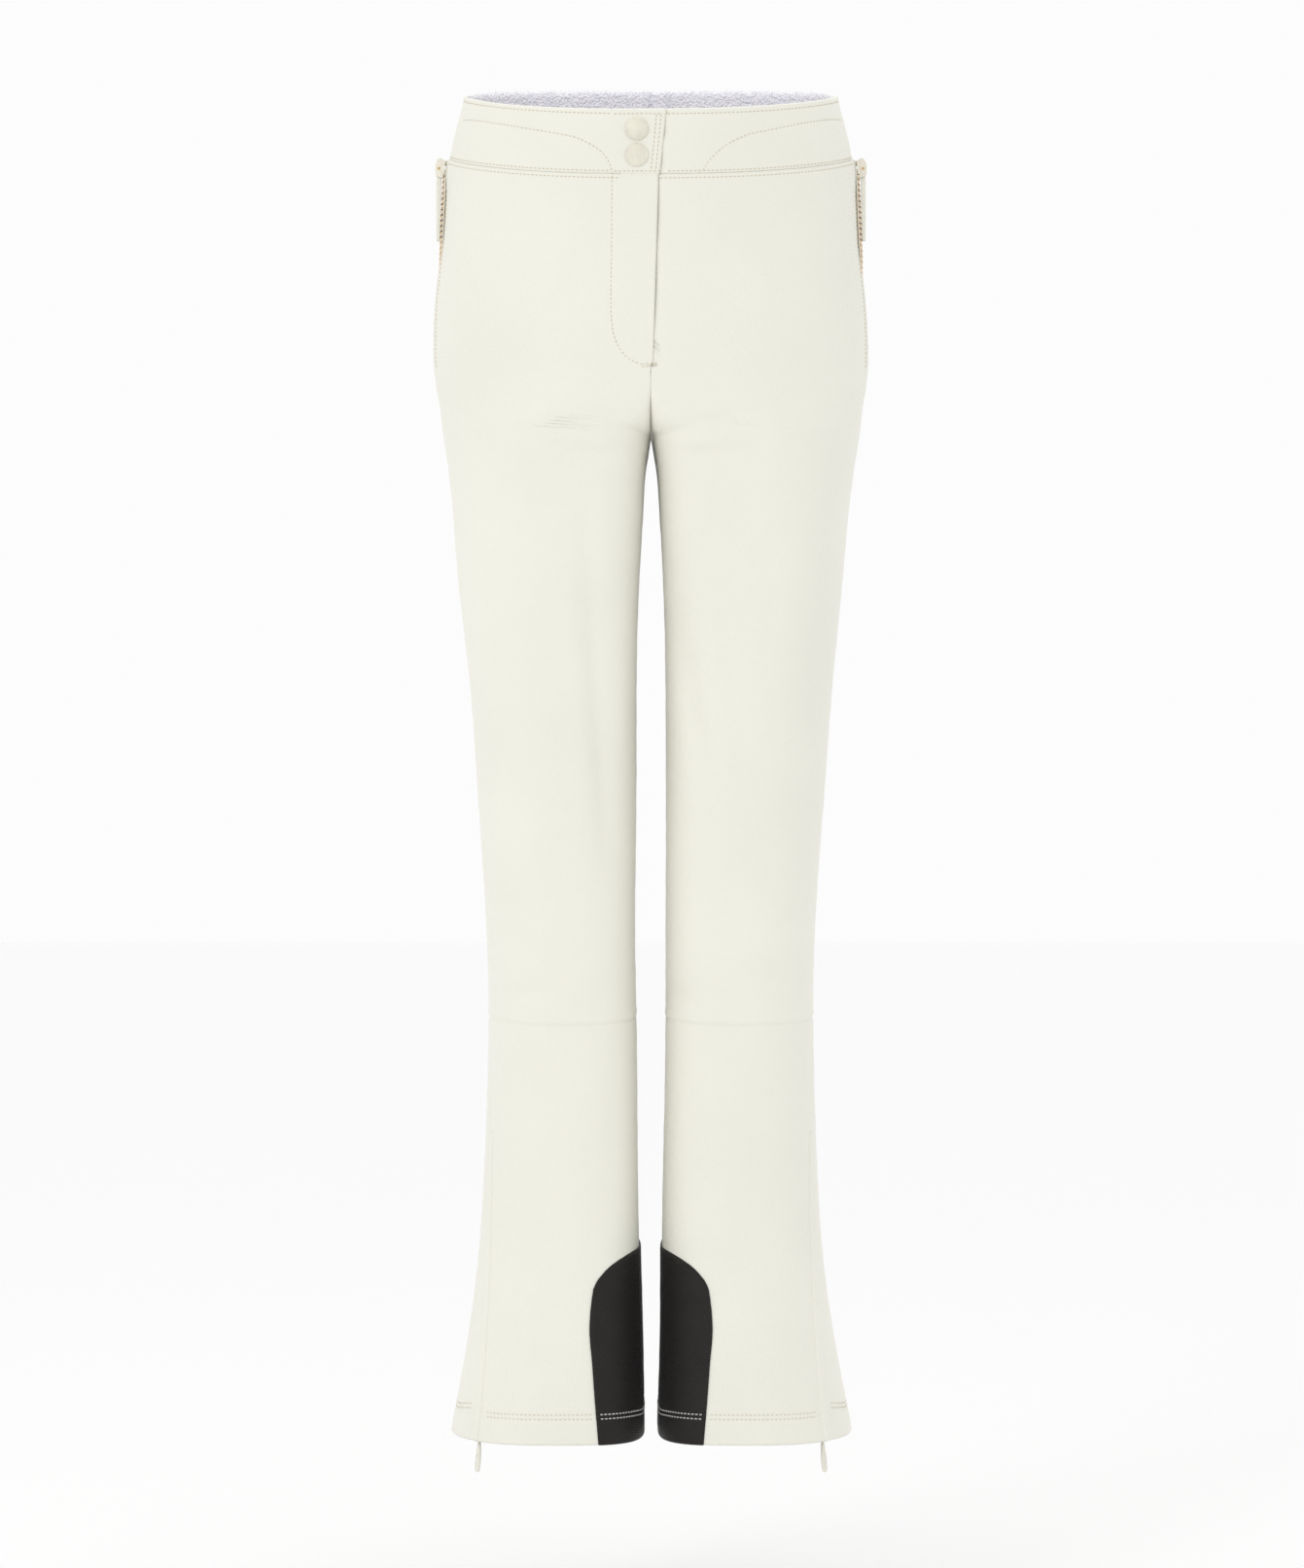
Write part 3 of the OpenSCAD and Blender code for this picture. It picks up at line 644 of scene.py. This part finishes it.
waist_panel("waistband_front_left", 1, lambda z: s_at(-27, z), always(0.5), 250, 250,
            (1.1, 0.3, 0.2, 1.0), "hips", "waistband_left", "waist_underlap", depth_under=under_tab)
waist_panel("waistband_front_right", -1, crease_s, always(0.5), 210, 205, (1.1, 0.3, 0.2, 0), "hips",
            "waistband_right")
for half, side in SIDES.items():
    waist_panel(f"waistband_back_{half}", side, always(0.5), always(1.0), 235, 235,
                (1.1, 0, 0.2, 0.3), "hips", "waistband_back")
over_fly(waist_panel("waist_tab_cloth", -1, lambda z: s_at(-tab_x(z), z), crease_s, 42, 40,
                     (1.1, 0, 1.0, 1.2), None, "waist_tab"))


def fleece_rise(s):
    """The facing ends below the waistband's edge in front, and stands over it at the back."""
    return -1.0 + 2.4 * smoothstep(0.45, 0.62, s)


def fleece_strip(name, side, s_left, length):
    """The fleece facing inside the waistband."""
    piece = panel(name, side, s_left, always(1.0), lambda s: waist_z(s) + fleece_rise(s),
                  lambda s: band_z(s) + 1, columns_for(length, 4.0), np.linspace(0, 1, 15), [lining],
                  lift=-BAND_THICK - 0.3, thick=1.6, roll=(0.8, 0, 0.4, 0.4),
                  depth_under=UNDER[side])
    fit(piece, "fleece_lining", "hips", "waistband_lining")
    declare(length, BAND_H - 2)


fleece_strip("waist_fleece_left", 1, lambda z: s_at(-25, z), 470)
fleece_strip("waist_fleece_right", -1, lambda z: s_at(-crease_x(z) + 1, z), 440)


# Fleece fibres along the inside of the waistband and, in tufts, over its back edge
FIBRES, FIBRE_HALF = 5500, 0.11
rng = np.random.default_rng(11)
fibres = []
for side in (1, -1):
    s = rng.uniform(0.03, 1.0, FIBRES)
    drop = 22 * rng.random(FIBRES) ** 2.6
    inward = np.where(drop < 1.5, BAND_THICK + 0.3, BAND_THICK + 1.2)
    point, normal = surface(side, s, waist_z(s) + fleece_rise(s) - drop, -inward)
    tufts = 0.5 + 0.5 * np.sin(61 * s * side) * np.sin(23 * s)
    tall = 1 + 0.9 * smoothstep(0.55, 0.75, s) * tufts
    lean = rng.normal((0, 0, 0.7), (0.45, 0.45, 0.5), (FIBRES, 3))
    reach = -normal * rng.uniform(0.2, 1.2, (FIBRES, 1)) + lean * tall[:, None]
    tip = point + reach * rng.uniform(0.8, 1.7, (FIBRES, 1))
    bend = (point + tip) / 2 + lean * 0.4
    beside = rng.normal(size=(FIBRES, 3))
    beside *= FIBRE_HALF / np.linalg.norm(beside, axis=1, keepdims=True)
    fibres.append(np.stack([point - beside, point + beside, bend + beside * 0.8, bend - beside * 0.8,
                            tip], 1))
faces = [face for k in range(0, 10 * FIBRES, 5) for face in ((k, k + 1, k + 2, k + 3), (k + 3, k + 2, k + 4))]
pile = new_piece("waist_fleece_pile", np.concatenate(fibres).reshape(-1, 3), faces, [lining])
fit(pile, "fleece_lining", "hips")

# ---- hips and thighs
MID_THIGH = -480.0
ZIP_ROOM = 0.0106
upper_rows = graded(400, 4.0, (0, 12, 1.1), (200, 40, 2.6))
half_columns = graded(230, 3.4, (0, 42, 1.7), (230, 12, 1.2))


def front_edge(x_at, height):
    """The centre edge of a front, x_at(z) off the centre line down to the bottom of the fly."""
    return lambda z: s_at(x_at(z) * smoothstep(-FLY_DROP, -FLY_DROP + height, z), z) * (z > -FLY_DROP)


def side_edge(way):
    """The side edge of a front (-1) or back (1), which leaves room for the pocket zip."""
    return lambda z: (side_seam_s(z)
                      + way * ZIP_ROOM * smoothstep(POCKET_ZIP_LOW - 4, POCKET_ZIP_LOW + 4, z))


FRONT_EDGE = {"left": front_edge(always(-14), 26), "right": front_edge(lambda z: -crease_x(z), 5)}
for half, side in SIDES.items():
    front = panel(f"front_panel_{half}", side, FRONT_EDGE[half], side_edge(-1), band_z,
                  always(MID_THIGH), half_columns, upper_rows, SHELL,
                  roll=(0, 0.5, 0, 0.2 if side > 0 else 0), depth_under=UNDER[side])
    fit(front, "shell_cloth", None, f"hip_front_{half}", f"hip_fold_{half}")
    back = panel(f"back_panel_{half}", side, side_edge(1), always(1.0), band_z, always(MID_THIGH),
                 half_columns, upper_rows, SHELL, roll=(0, 0, 0, 0.5))
    fit(back, "shell_cloth", None, f"hip_back_{half}")
    for piece in (front, back):
        declare(290, 445)
        over_hip(piece)

flap = panel("fly_flap_cloth", -1, lambda z: s_at(-fly_edge_x(z), z), crease_s,
             always(WAIST_TOP - BAND_H + 0.5), always(-FLY_DROP + 0.8), columns_for(29, 1.6, 5, 1.0),
             graded(150, 2.0, (0, 10, 1.1)), SHELL, thick=2.2, roll=(0.5, 0, 0.2, 1.1))
fit(flap, "shell_cloth", None, "fly_panel", "fly_facing")
over_fly(flap)
declare(29, 150)       # it narrows to a point

# ---- thigh to knee seam
knee_rows = graded(262, 4.0, (262, 14, 1.1))
for half, side in SIDES.items():
    for part, s0, s1 in (("front", 0.0, 0.5), ("back", 0.5, 1.0)):
        piece = panel(f"knee_{part}_{half}", side, always(s0), always(s1), always(MID_THIGH), knee_z,
                      half_columns, knee_rows, SHELL)
        fit(piece, "shell_cloth", None, f"thigh_{part}_{half}", f"knee_fold_{half}")
        declare(235, 262)
        over_knee(piece)


# ---- below the knee
def shin_seam_s(z):
    return mix(zip_s(z), 0.47, smoothstep(ANKLE_ZIP_TOP, -KNEE_SEAM, z))


def hem_back(s):
    """The outer panel's hem rises a little towards the ankle zip."""
    return -HEM_DROP + 5.0 * bell(s - 0.38, 0.06)


shin_rows = graded(330, 4.0, (0, 12, 1.1), (310, 26, 1.1))
for half, side in SIDES.items():
    for part, s0, s1, hem, width, grade, roll in (
            ("front", always(0.0), shin_seam_s, always(-HEM_DROP), 190, ((0, 7, 1.3), (190, 14, 1.0)),
             (0, 0.6, 1.0, 0)),
            ("back", shin_seam_s, always(1.0), hem_back, 260, ((0, 14, 1.0), (260, 7, 1.3)),
             (0, 0, 1.0, 0.6))):
        piece = panel(f"shin_{part}_{half}", side, s0, s1, knee_z, hem, graded(width, 3.6, *grade),
                      shin_rows, SHELL, roll=roll)
        fit(piece, "shell_cloth", None, f"shin_{part}_{half}")
        declare(width, 330)
        over_knee(piece)

# ---- kick patches
# Half outline of the patch: its front edge by its drop, and its domed top by s
PATCH_EDGE = smooth_table([[968, 47.8], [981, 48.4], [1008, 46.3], [1040, 43.8], [HEM_DROP, 41]])
PATCH_DOME = smooth_table([[8, 922.5], [16, 924], [24, 926.8], [31, 930.5], [37, 935], [41.5, 940.5],
                           [44.8, 946.5], [46.6, 953.5], [47.8, 968]])
PATCH_WIDEST = -968.0
PATCH_BACK = 0.72
PATCH_LIFT = 1.5


def patch_front_s(z):
    """The s of the patch's front edge, on the inner front quarter of a leg."""
    z = np.minimum(z, PATCH_WIDEST)
    mid = (outer_x(-z) + inner_x(-z)) / 2
    r = np.clip((mid - PATCH_EDGE(-z)) / (mid - inner_x(-z)), 0, 1) ** (inner_round(-z) / 2)
    return 0.25 * np.degrees(np.arccos(r)) / 90


def patch_row_z(s, up):
    """The white rows dip a little round the inner side."""
    return -HEM_DROP + up - 3.0 * bell(s, 0.07)


for half, side in SIDES.items():
    rows = graded(135, 2.4, (0, 9, 0.9), (116, 6, 0.9), (135, 8, 1.0))
    u, v = np.meshgrid(columns_for(150), rows)
    across = mix(-PATCH_BACK, 1.0, u)
    scaled = np.where(across < 0, -across / PATCH_BACK, across)
    top = -PATCH_DOME(mix(8.0, 47.8, 1 - np.cos(np.pi / 2 * scaled)))
    z = mix(top, -HEM_DROP - 0.6, v)
    s = across * patch_front_s(z)
    edge = np.minimum(np.minimum(u, 1 - u) * 130, v * 135)
    height = PATCH_LIFT - 0.6 * bell(edge, 1.4)
    for up in HEM_ROWS:
        height = height + groove(z - patch_row_z(s, up), 0.9, 0.3)
    patch = raised_sheet(f"kick_patch_cloth_{half}", side, s, z, height, 1.1, [black_twill],
                         (0.4, 0.4, 0.6, 0.4))
    fit(patch, "kick_twill", f"{half}_shin", f"kick_patch_{half}")
    declare(130, 140)
    rows = []
    for up in HEM_ROWS:
        s = np.linspace(-PATCH_BACK, 1, 160) * 0.985 * float(patch_front_s(np.array(up - HEM_DROP)))
        rows.append((side, s, patch_row_z(s, up)))
    fit(thread(f"patch_stitches_{half}", rows, white_thread, lift=PATCH_LIFT, radius=0.36),
        "kick_twill", f"{half}_shin")


# ---- rows of stitches
# Stitches in the tan thread, whose colour is partly painted shade along the stitch lines.
def stitches(name, rows):
    piece = thread(name, rows, thread_tone_and_painted_shade)
    return piece


waist_rows, tab_rows = [], []
for drop in (TOP_ROW, BAND_H - BAND_ROW):
    for side, x in ((1, 12.5), (-1, 32.0)):
        s = np.linspace(s_at(x, -40), 1.0, 500)
        waist_rows.append((side, s, waist_z(s) - drop))
    level = np.zeros(60) + waist_z(0.01) - drop
    tab_rows.append((-1, s_at(np.linspace(-8, 31, 60), level), level))
waist_rows += [front_row(-1, CURVE_RIGHT), front_row(1, CURVE_LEFT)]
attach(stitches("waistband_stitches", waist_rows), "hips")

EDGE = np.linspace(WAIST_TOP - 3.0, WAIST_TOP - BAND_H + 2.0, 50)
for inset in (2.6, 6.2):
    tab_rows.append((-1, s_at(-(tab_x(EDGE) - inset), EDGE), EDGE))
over_fly(stitches("tab_stitches", tab_rows))

bar_tack = [front_row(-1, [[-8, z - 0.2], [-2, z], [4, z]]) for z in (-224.6, -226.8)]
hip_rows = {"left": [], "right": [front_row(-1, J_STITCH), *bar_tack]}
UNDER_START = {"left": 6.5, "right": 25.0}
for half, side in SIDES.items():
    rows = hip_rows[half]
    for s0, s1 in ((s_at(UNDER_START[half], -80), POCKET_S - 0.015), (POCKET_S + 0.015, 1)):
        s = np.linspace(s0, s1, 400)
        rows.append((side, s, band_z(s) - UNDER_ROW))
    z = np.linspace(band_z(1.0) - 2, -CROTCH_DROP + 4, 160)
    rows.append((side, np.zeros(160) + 1 - 0.008, z))
    z = np.linspace(-78, POCKET_ZIP_LOW - 2, 160)
    for offset in (-0.021, 0.021):
        rows.append((side, side_seam_s(z) + offset, z))
    over_hip(stitches(f"hip_stitches_{half}", rows))
    rows = []
    for up in HEM_ROWS:
        s = np.linspace(float(patch_front_s(np.array(-HEM_DROP + up))) + 0.006, ANKLE_S[0] - 0.02, 200)
        rows.append((side, s, np.zeros_like(s) - HEM_DROP + up))
        s = np.linspace(ANKLE_S[0] + 0.02, 1 - PATCH_BACK * 0.175, 300)
        rows.append((side, s, hem_back(s) + up))
    over_knee(stitches(f"shin_stitches_{half}", rows))


# ---- hard parts
def to_frame(origin, up, out):
    """Local +Z along up, +Y outwards, from an origin in millimetres to metres in the row frame."""
    z = Vector(up).normalized()
    out = Vector(out)
    y = (out - out.dot(z) * z).normalized()
    x = y.cross(z)
    turn = Matrix((x, y, z)).transposed().to_4x4()
    return Matrix.Translation(Vector(origin) * MM) @ turn @ Matrix.Scale(MM, 4)


BEVEL_ANGLE, SMOOTH_ANGLE = 0.6, 0.7


class Solids:
    """Collects bevelled solids in local millimetres and makes them one piece."""

    def __init__(self):
        self.mesh = bmesh.new()

    def absorb(self, part, bevel=0.0):
        if bevel:
            sharp = [e for e in part.edges if e.calc_face_angle(0) > BEVEL_ANGLE]
            bmesh.ops.bevel(part, geom=sharp, offset=bevel, segments=2, affect="EDGES", profile=0.6,
                            clamp_overlap=True)
        temporary = bpy.data.meshes.new("part")
        part.to_mesh(temporary)
        part.free()
        self.mesh.from_mesh(temporary)
        bpy.data.meshes.remove(temporary)

    def block(self, size, centre, bevel=0.3):
        part = bmesh.new()
        bmesh.ops.create_cube(part, size=1.0)
        bmesh.ops.scale(part, vec=size, verts=part.verts)
        bmesh.ops.translate(part, vec=centre, verts=part.verts)
        self.absorb(part, bevel)

    def plate(self, outline, thickness, start, bevel, turned=False):
        """A plate with its x, z outline, or y, z if turned, from start to start + thickness."""
        part = bmesh.new()
        face = part.faces.new([part.verts.new((start, a, z) if turned else (a, start, z))
                               for a, z in outline])
        made = bmesh.ops.extrude_face_region(part, geom=[face])
        bmesh.ops.translate(part, vec=(thickness, 0, 0) if turned else (0, thickness, 0),
                            verts=[v for v in made["geom"] if isinstance(v, bmesh.types.BMVert)])
        bmesh.ops.recalc_face_normals(part, faces=part.faces)
        self.absorb(part, bevel)

    def lathe(self, profile, centre=(0, 0, 0), count=48, axis="Y", ring=False):
        """A body of revolution about local Y (or X) from its [radius, height] profile."""
        part = bmesh.new()
        angles = [2 * math.pi * k / count for k in range(count)]
        rows = [[part.verts.new((r * math.cos(a), height, r * math.sin(a))) for a in angles]
                if r > 1e-6 else [part.verts.new((0, height, 0))] for r, height in profile]
        for low, high in zip(rows, rows[1:] + rows[:ring]):
            for k in range(count):
                m = (k + 1) % count
                corners = [low[k % len(low)], low[m % len(low)], high[m % len(high)], high[k % len(high)]]
                unique = list(dict.fromkeys(corners))
                if len(unique) > 2:
                    part.faces.new(unique)
        if axis == "X":
            bmesh.ops.rotate(part, matrix=Matrix.Rotation(-math.pi / 2, 3, "Z"), verts=part.verts)
        bmesh.ops.translate(part, vec=centre, verts=part.verts)
        bmesh.ops.recalc_face_normals(part, faces=part.faces)
        self.absorb(part)

    def torus(self, radius, wire):
        """A wire ring in the local y, z plane."""
        turns = [2 * math.pi * j / 8 for j in range(8)]
        self.lathe([(radius + wire * math.cos(b), wire * math.sin(b)) for b in turns], count=28, axis="X",
                   ring=True)

    def piece(self, name, matrix, material, slot, body, *nodes):
        bmesh.ops.transform(self.mesh, matrix=matrix, verts=self.mesh.verts)
        for edge in self.mesh.edges:
            edge.smooth = edge.calc_face_angle(0) < SMOOTH_ANGLE
        for face in self.mesh.faces:
            face.smooth = True
        mesh = bpy.data.meshes.new(name)
        self.mesh.to_mesh(mesh)
        self.mesh.free()
        mesh.materials.append(material)
        fit(link(name, mesh), slot, body, *nodes)


def rounded(points, radius, steps=5):
    """The outline with its corners rounded."""
    made = []
    for k, corner in enumerate(points):
        p, before, after = Vector(corner), Vector(points[k - 1]), Vector(points[(k + 1) % len(points)])
        a, b = before - p, after - p
        reach = min(radius, a.length * 0.45, b.length * 0.45)
        start, stop = p + a.normalized() * reach, p + b.normalized() * reach
        for i in range(steps + 1):
            t = i / steps
            made.append(tuple((1 - t) ** 2 * start + 2 * t * (1 - t) * p + t * t * stop))
    return made


def even(right, radius):
    """A rounded outline from the corners of its right half."""
    return rounded(right + [(-x, z) for x, z in reversed(right)], radius)


SLIDER_PLATE = even([(4.6, 7.4), (5.0, 2.5), (3.7, -5.0), (3.4, -7.4)], 2.2)
CHEEK = rounded([(-3.6, 8.4), (0.6, 8.0), (2.3, 4.6), (2.3, -3.4), (1.0, -6.4), (-3.6, -8.0)], 2.6, 6)
CHEEK_THICK, CHEEK_GAP = 1.2, 2.1
RIVET = [(0, -3.6), (1.0, -3.6), (1.1, -3.3), (1.1, 3.3), (1.0, 3.6), (0, 3.6)]
EYELET = [(0, -1.9), (1.5, -1.9), (1.7, -1.5), (1.7, 1.5), (1.5, 1.9), (0, 1.9)]
POCKET_PULL = even([(1.7, -6), (2.4, -10), (3.3, -17), (3.5, -54), (2.8, -58)], 2.0)
ANKLE_PULL = even([(1.3, -1.6), (2.0, -6), (3.0, -13), (2.9, -22), (1.6, -24.8)], 2.2)
PULL_END = 58
ANKLE_PIN = [(0, -3.1), (0.8, -3.1), (0.8, 3.1), (0, 3.1)]
PIN_OUT = 5.4
ANKLE_PIN_DROP = 14.4
CHAIN_LENGTH, TOOTH_PITCH = 157, 4.4


def slider_body(scale=1.0):
    solids = Solids()
    for y in (1.6, -2.8):
        solids.plate([(x * scale, z * scale) for x, z in SLIDER_PLATE], 1.2, y, 0.35)
    solids.block((0.9, 3.4, 4.0), (0, 0, 4.6 * scale), 0.1)
    for x in (-4.5, 4.5):
        for y in (1.8, -1.8):
            solids.block((0.8, 2.0, 10.0 * scale), (x * scale, y, 0.5), 0.25)
    return solids


def paint(node, material):
    frame["nodes"][node].data.materials[0] = material


for half in SIDES:
    # pocket zip: a chain of moulded teeth, and a slider whose cheeks hold a long pull on a rivet
    swing = joints[f"{half}_pocket_tab"]
    axis = Vector(swing["axis"])
    out = Vector((-axis.y, axis.x, 0))
    up = -Vector(joints[f"{half}_pocket_zip"]["axis"])
    pin = Vector(swing["pos_m"]) / MM
    chain, hang = to_frame(pin - out * PIN_OUT, up, out), to_frame(pin, (0, 0, 1), out)
    slider, pull = f"{half}_pocket_slider", f"{half}_pocket_pull"
    teeth = Solids()
    for k in range(int(CHAIN_LENGTH / TOOTH_PITCH)):
        for way, shift in ((1, 0.0), (-1, TOOTH_PITCH / 2)):
            z = -CHAIN_LENGTH + 1.2 + k * TOOTH_PITCH + shift
            sunk = 0.4 * float(smoothstep(66, 96, -z))       # the lower teeth lie under the cloth
            teeth.block((2.9, 3.8 - 4 * sunk, 2.2), (way * 2.15, -sunk, z), 0.5)
            teeth.block((1.5, 2.8 - 2 * sunk, 1.7), (way * 0.15, -sunk, z), 0.4)
    teeth.piece(f"pocket_zip_teeth_{half}", chain, moulded, "moulded_teeth", "hips",
                f"pocket_teeth_{half}")
    paint(f"pocket_tape_{half}", tape)
    slider_body().piece(f"pocket_slider_body_{half}", chain, enamel, "slider_enamel", slider,
                        f"pocket_slider_{half}")
    cheeks = Solids()
    for start in (CHEEK_GAP, -CHEEK_GAP - CHEEK_THICK):
        cheeks.plate(CHEEK, CHEEK_THICK, start, 0.35, turned=True)
    cheeks.piece(f"pocket_slider_bridge_{half}", hang, enamel, "slider_enamel", slider)
    rivet = Solids()
    rivet.lathe(RIVET, count=20, axis="X")
    rivet.piece(f"pocket_slider_pin_{half}", hang, brass, "slider_enamel", slider)
    eye = Solids()
    eye.torus(1.65, 0.45)
    eye.block((3.0, 1.0, 4.6), (0, 0, -4.0), 0.4)
    eye.lathe(EYELET, (0, 0, -12), 24)
    eye.piece(f"pocket_pull_link_{half}", hang, enamel, "slider_enamel", pull)
    grip = Solids()
    grip.plate(POCKET_PULL, 2.6, -1.0, 0.8)
    for k in range(10):
        grip.block((4.4, 2.9, 0.9), (0, 0.3, -22 - k * 3.2))
    for vertex in grip.mesh.verts:       # thinner towards its end, as the teeth come nearer there
        if vertex.co.y < 0:
            vertex.co.y *= mix(2.3, 1.0, min(1.0, -vertex.co.z / PULL_END))
    grip.piece(f"pocket_pull_tab_{half}", hang, pull_cream, "pull_tab", pull,
               f"pocket_pull_{half}")

    # ankle zip: slider under the hem end of the welt, with a short soft pull
    swing = joints[f"{half}_ankle_tab"]
    up = Vector(joints[f"{half}_ankle_zip"]["axis"])
    out = Vector(swing["axis"]).cross(up)
    pin = Vector(swing["pos_m"]) / MM
    centre, hang = to_frame(pin - out * PIN_OUT + up * ANKLE_PIN_DROP, up, out), to_frame(pin, up, out)
    slider = f"{half}_ankle_slider"
    slider_body(0.92).piece(f"ankle_slider_body_{half}", centre, brass, "ankle_slider_brass", slider,
                            f"ankle_slider_{half}")
    loop = Solids()
    for x in (-2.6, 2.6):
        loop.block((1.0, 3.4, 2.6), (x, -0.6, 0), 0.4)
        loop.block((1.0, 1.4, 9.6), (x, -2.2, 4.6))
    loop.lathe(ANKLE_PIN, count=20, axis="X")
    loop.piece(f"ankle_slider_bridge_{half}", hang, brass, "ankle_slider_brass", slider)
    soft = Solids()
    soft.torus(1.5, 0.55)
    soft.plate(ANKLE_PULL, 1.8, -0.9, 0.6)
    for k in range(4):
        soft.block((3.8, 2.2, 0.8), (0, 0, -12 - k * 2.8))
    soft.piece(f"ankle_pull_tab_{half}", hang, pull_cream, "pull_tab", f"{half}_ankle_pull",
               f"ankle_pull_{half}")
    paint(f"ankle_tape_{half}", tape)
    paint(f"ankle_coil_{half}", coil)

# ---- snaps and fly parts
SNAP_X = -11.0
caps = Solids()
snap_low, snap_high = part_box("snap_caps")
snap_r = (snap_high.x - snap_low.x) / 2 / MM
for z in (snap_high.z / MM - snap_r, snap_low.z / MM + snap_r):
    dome = [(0, 0.0), (snap_r - 0.3, 0.0), (snap_r, 0.5), (snap_r - 0.1, 1.0), (snap_r - 0.9, 1.5),
            (snap_r - 1.4, 1.35), (snap_r - 1.9, 1.5), (snap_r - 4, 1.75), (snap_r / 2, 1.9), (0, 1.95)]
    caps.lathe([(r, -h) for r, h in dome], (SNAP_X, snap_high.y / MM, z))
caps.piece("snap_cap_covers", Matrix.Scale(MM, 4), cap_rib, "snap_cap", "fly_flap", "snap_caps")
for node, material in (("snap_sockets", steel), ("snap_studs", steel), ("fly_slider", enamel),
                       ("fly_pull", enamel), ("fly_coil", coil), ("fly_tape", tape)):
    paint(node, material)

# The fly shield, a flat layer of cloth behind the fly
SHIELD_X, SHIELD_Z, SHIELD_DEPTH = (-28, 26), (WAIST_TOP - BAND_H - 1, -FLY_DROP - 4), 18.8
x, z = np.meshgrid(np.linspace(*SHIELD_X, 22), np.linspace(*SHIELD_Z, 60))
outside = skin(s_at(np.abs(x), z), z)
outside[..., 0] = x
outside[..., 1] += SHIELD_DEPTH + 0.5 * np.sin(z / 9) * np.sin(x / 14)
shield = cloth_sheet("fly_shield_cloth", outside, outside + np.array([0, 1.4, 0]), [lining], roll=(0.4,) * 4)
fit(shield, "fleece_lining", "hips", "fly_shield")
declare(SHIELD_X[1] - SHIELD_X[0], SHIELD_Z[0] - SHIELD_Z[1])

for half, side in SIDES.items():
    bag = panel(f"pocket_bag_cloth_{half}", side, always(0.27), always(0.44), always(-88),
                lambda s: -226 - 14 * np.sin(np.pi * (s - 0.27) / 0.17), np.linspace(0, 1, 25),
                np.linspace(0, 1, 41), [taffeta], lift=-7.5, thick=1.2, roll=(0.4,) * 4)
    fit(bag, "fleece_lining", "hips", f"pocket_bag_{half}")
    declare(80, 150)

# ---- gaiters, hem facings and ankle welts
# Name, levels, depth inside the leg, thickness, material, node, slot, gathers, rows and flat size
TUBES = [
    ("gaiter_cloth", -905, -1040, 20.0, 0.8, taffeta, "gaiter", "gaiter_cloth", 0.9, 30, 420, 135),
    ("gaiter_band", -1040.5, -1056, 19.6, 1.8, elastic, "gaiter_elastic", "elastic", 0, 8, 420, 15.5),
    ("hem_facing_cloth", -HEM_DROP + 22.5, -HEM_DROP + 1.2, CLOTH + 0.4, 0.9, ivory, "hem_facing",
     "facing_cloth", 0, 8, 540, 21)]
for half, side in SIDES.items():
    for name, z0, z1, depth, thick, material, node, slot, wobble, steps, width, length in TUBES:
        s, z = np.meshgrid(np.linspace(0, 1, 141)[:-1], np.linspace(z0, z1, steps))
        gathers = np.sin(2 * np.pi * 31 * s) + 0.5 * np.sin(2 * np.pi * 53 * s + 1)
        depth = depth + wobble * smoothstep(z0, z1, z) * gathers
        piece = raised_sheet(f"{name}_{half}", side, s, z, -depth, thick, [material],
                             (0.3, 0, 0.3, 0), wrap=True)
        fit(piece, slot, f"{half}_shin", f"{node}_{half}")
        declare(width, length)

WELT_LENGTH = ANKLE_ZIP_TOP + HEM_DROP
for half, side in SIDES.items():
    levels = -HEM_DROP + WELT_LENGTH * graded(WELT_LENGTH, 3.0, (0, 20, 1.2))[::-1]
    u, v = np.meshgrid(np.linspace(-1, 1, 13), np.arange(len(levels)))
    z = levels[v]
    ends = smoothstep(0, 8, v) * 0.9 + 0.1
    rise = 0.35 + 1.25 * np.sqrt(np.clip(1 - u**2, 0, 1)) * ends
    welt = raised_sheet(f"ankle_welt_cloth_{half}", side, shin_seam_s(z) - 0.004 + u * 0.0085, z,
                        rise, 1.2, [ivory], (0.3, 0.3, 0.5, 0.3))
    fit(welt, "shell_cloth", f"{half}_shin", f"ankle_welt_{half}")
    declare(10, 240)

# ---- stage, light and camera
FLOOR_SIZE, FLOOR_GAP = 30, 0.16
bpy.ops.mesh.primitive_plane_add(size=FLOOR_SIZE, location=(0, 0, -HEM_DROP * MM - FLOOR_GAP))
floor = bpy.context.object
floor.name = "floor"
floor.data.materials.append(shader("floor", (0.98, 0.98, 0.98), 0.9)[0])
world = bpy.data.worlds.new("studio")
bpy.context.scene.world = world
world.use_nodes = True
backdrop = world.node_tree.nodes["Background"]
backdrop.inputs["Color"].default_value = (1.0, 1.0, 1.0, 1)
backdrop.inputs["Strength"].default_value = 0.975
bpy.context.scene.view_settings.view_transform = "Standard"


def softbox(name, place, aim, size, power):
    light = bpy.data.lights.new(name, "AREA")
    light.shape = "RECTANGLE"
    light.size, light.size_y = size
    light.energy = power
    lamp = link(name, light)
    lamp.location = place
    lamp.rotation_euler = (Vector(aim) - Vector(place)).to_track_quat("-Z", "Y").to_euler()


softbox("key_light", (-1.6, -2.4, 0.6), (0, 0, -0.5), (0.8, 1.2), 9)
softbox("lining_light", (0, -0.03, 0.42), (0, 0.06, 0), (0.24, 0.12), 0.5)

camera_data = bpy.data.cameras.new("camera")
camera_data.sensor_width = 36
camera_data.lens = 99.8
camera = link("camera", camera_data)
camera.location = (0.0008, -3.5, -0.553)
camera.rotation_euler = (math.pi / 2, 0, 0)
bpy.context.scene.camera = camera
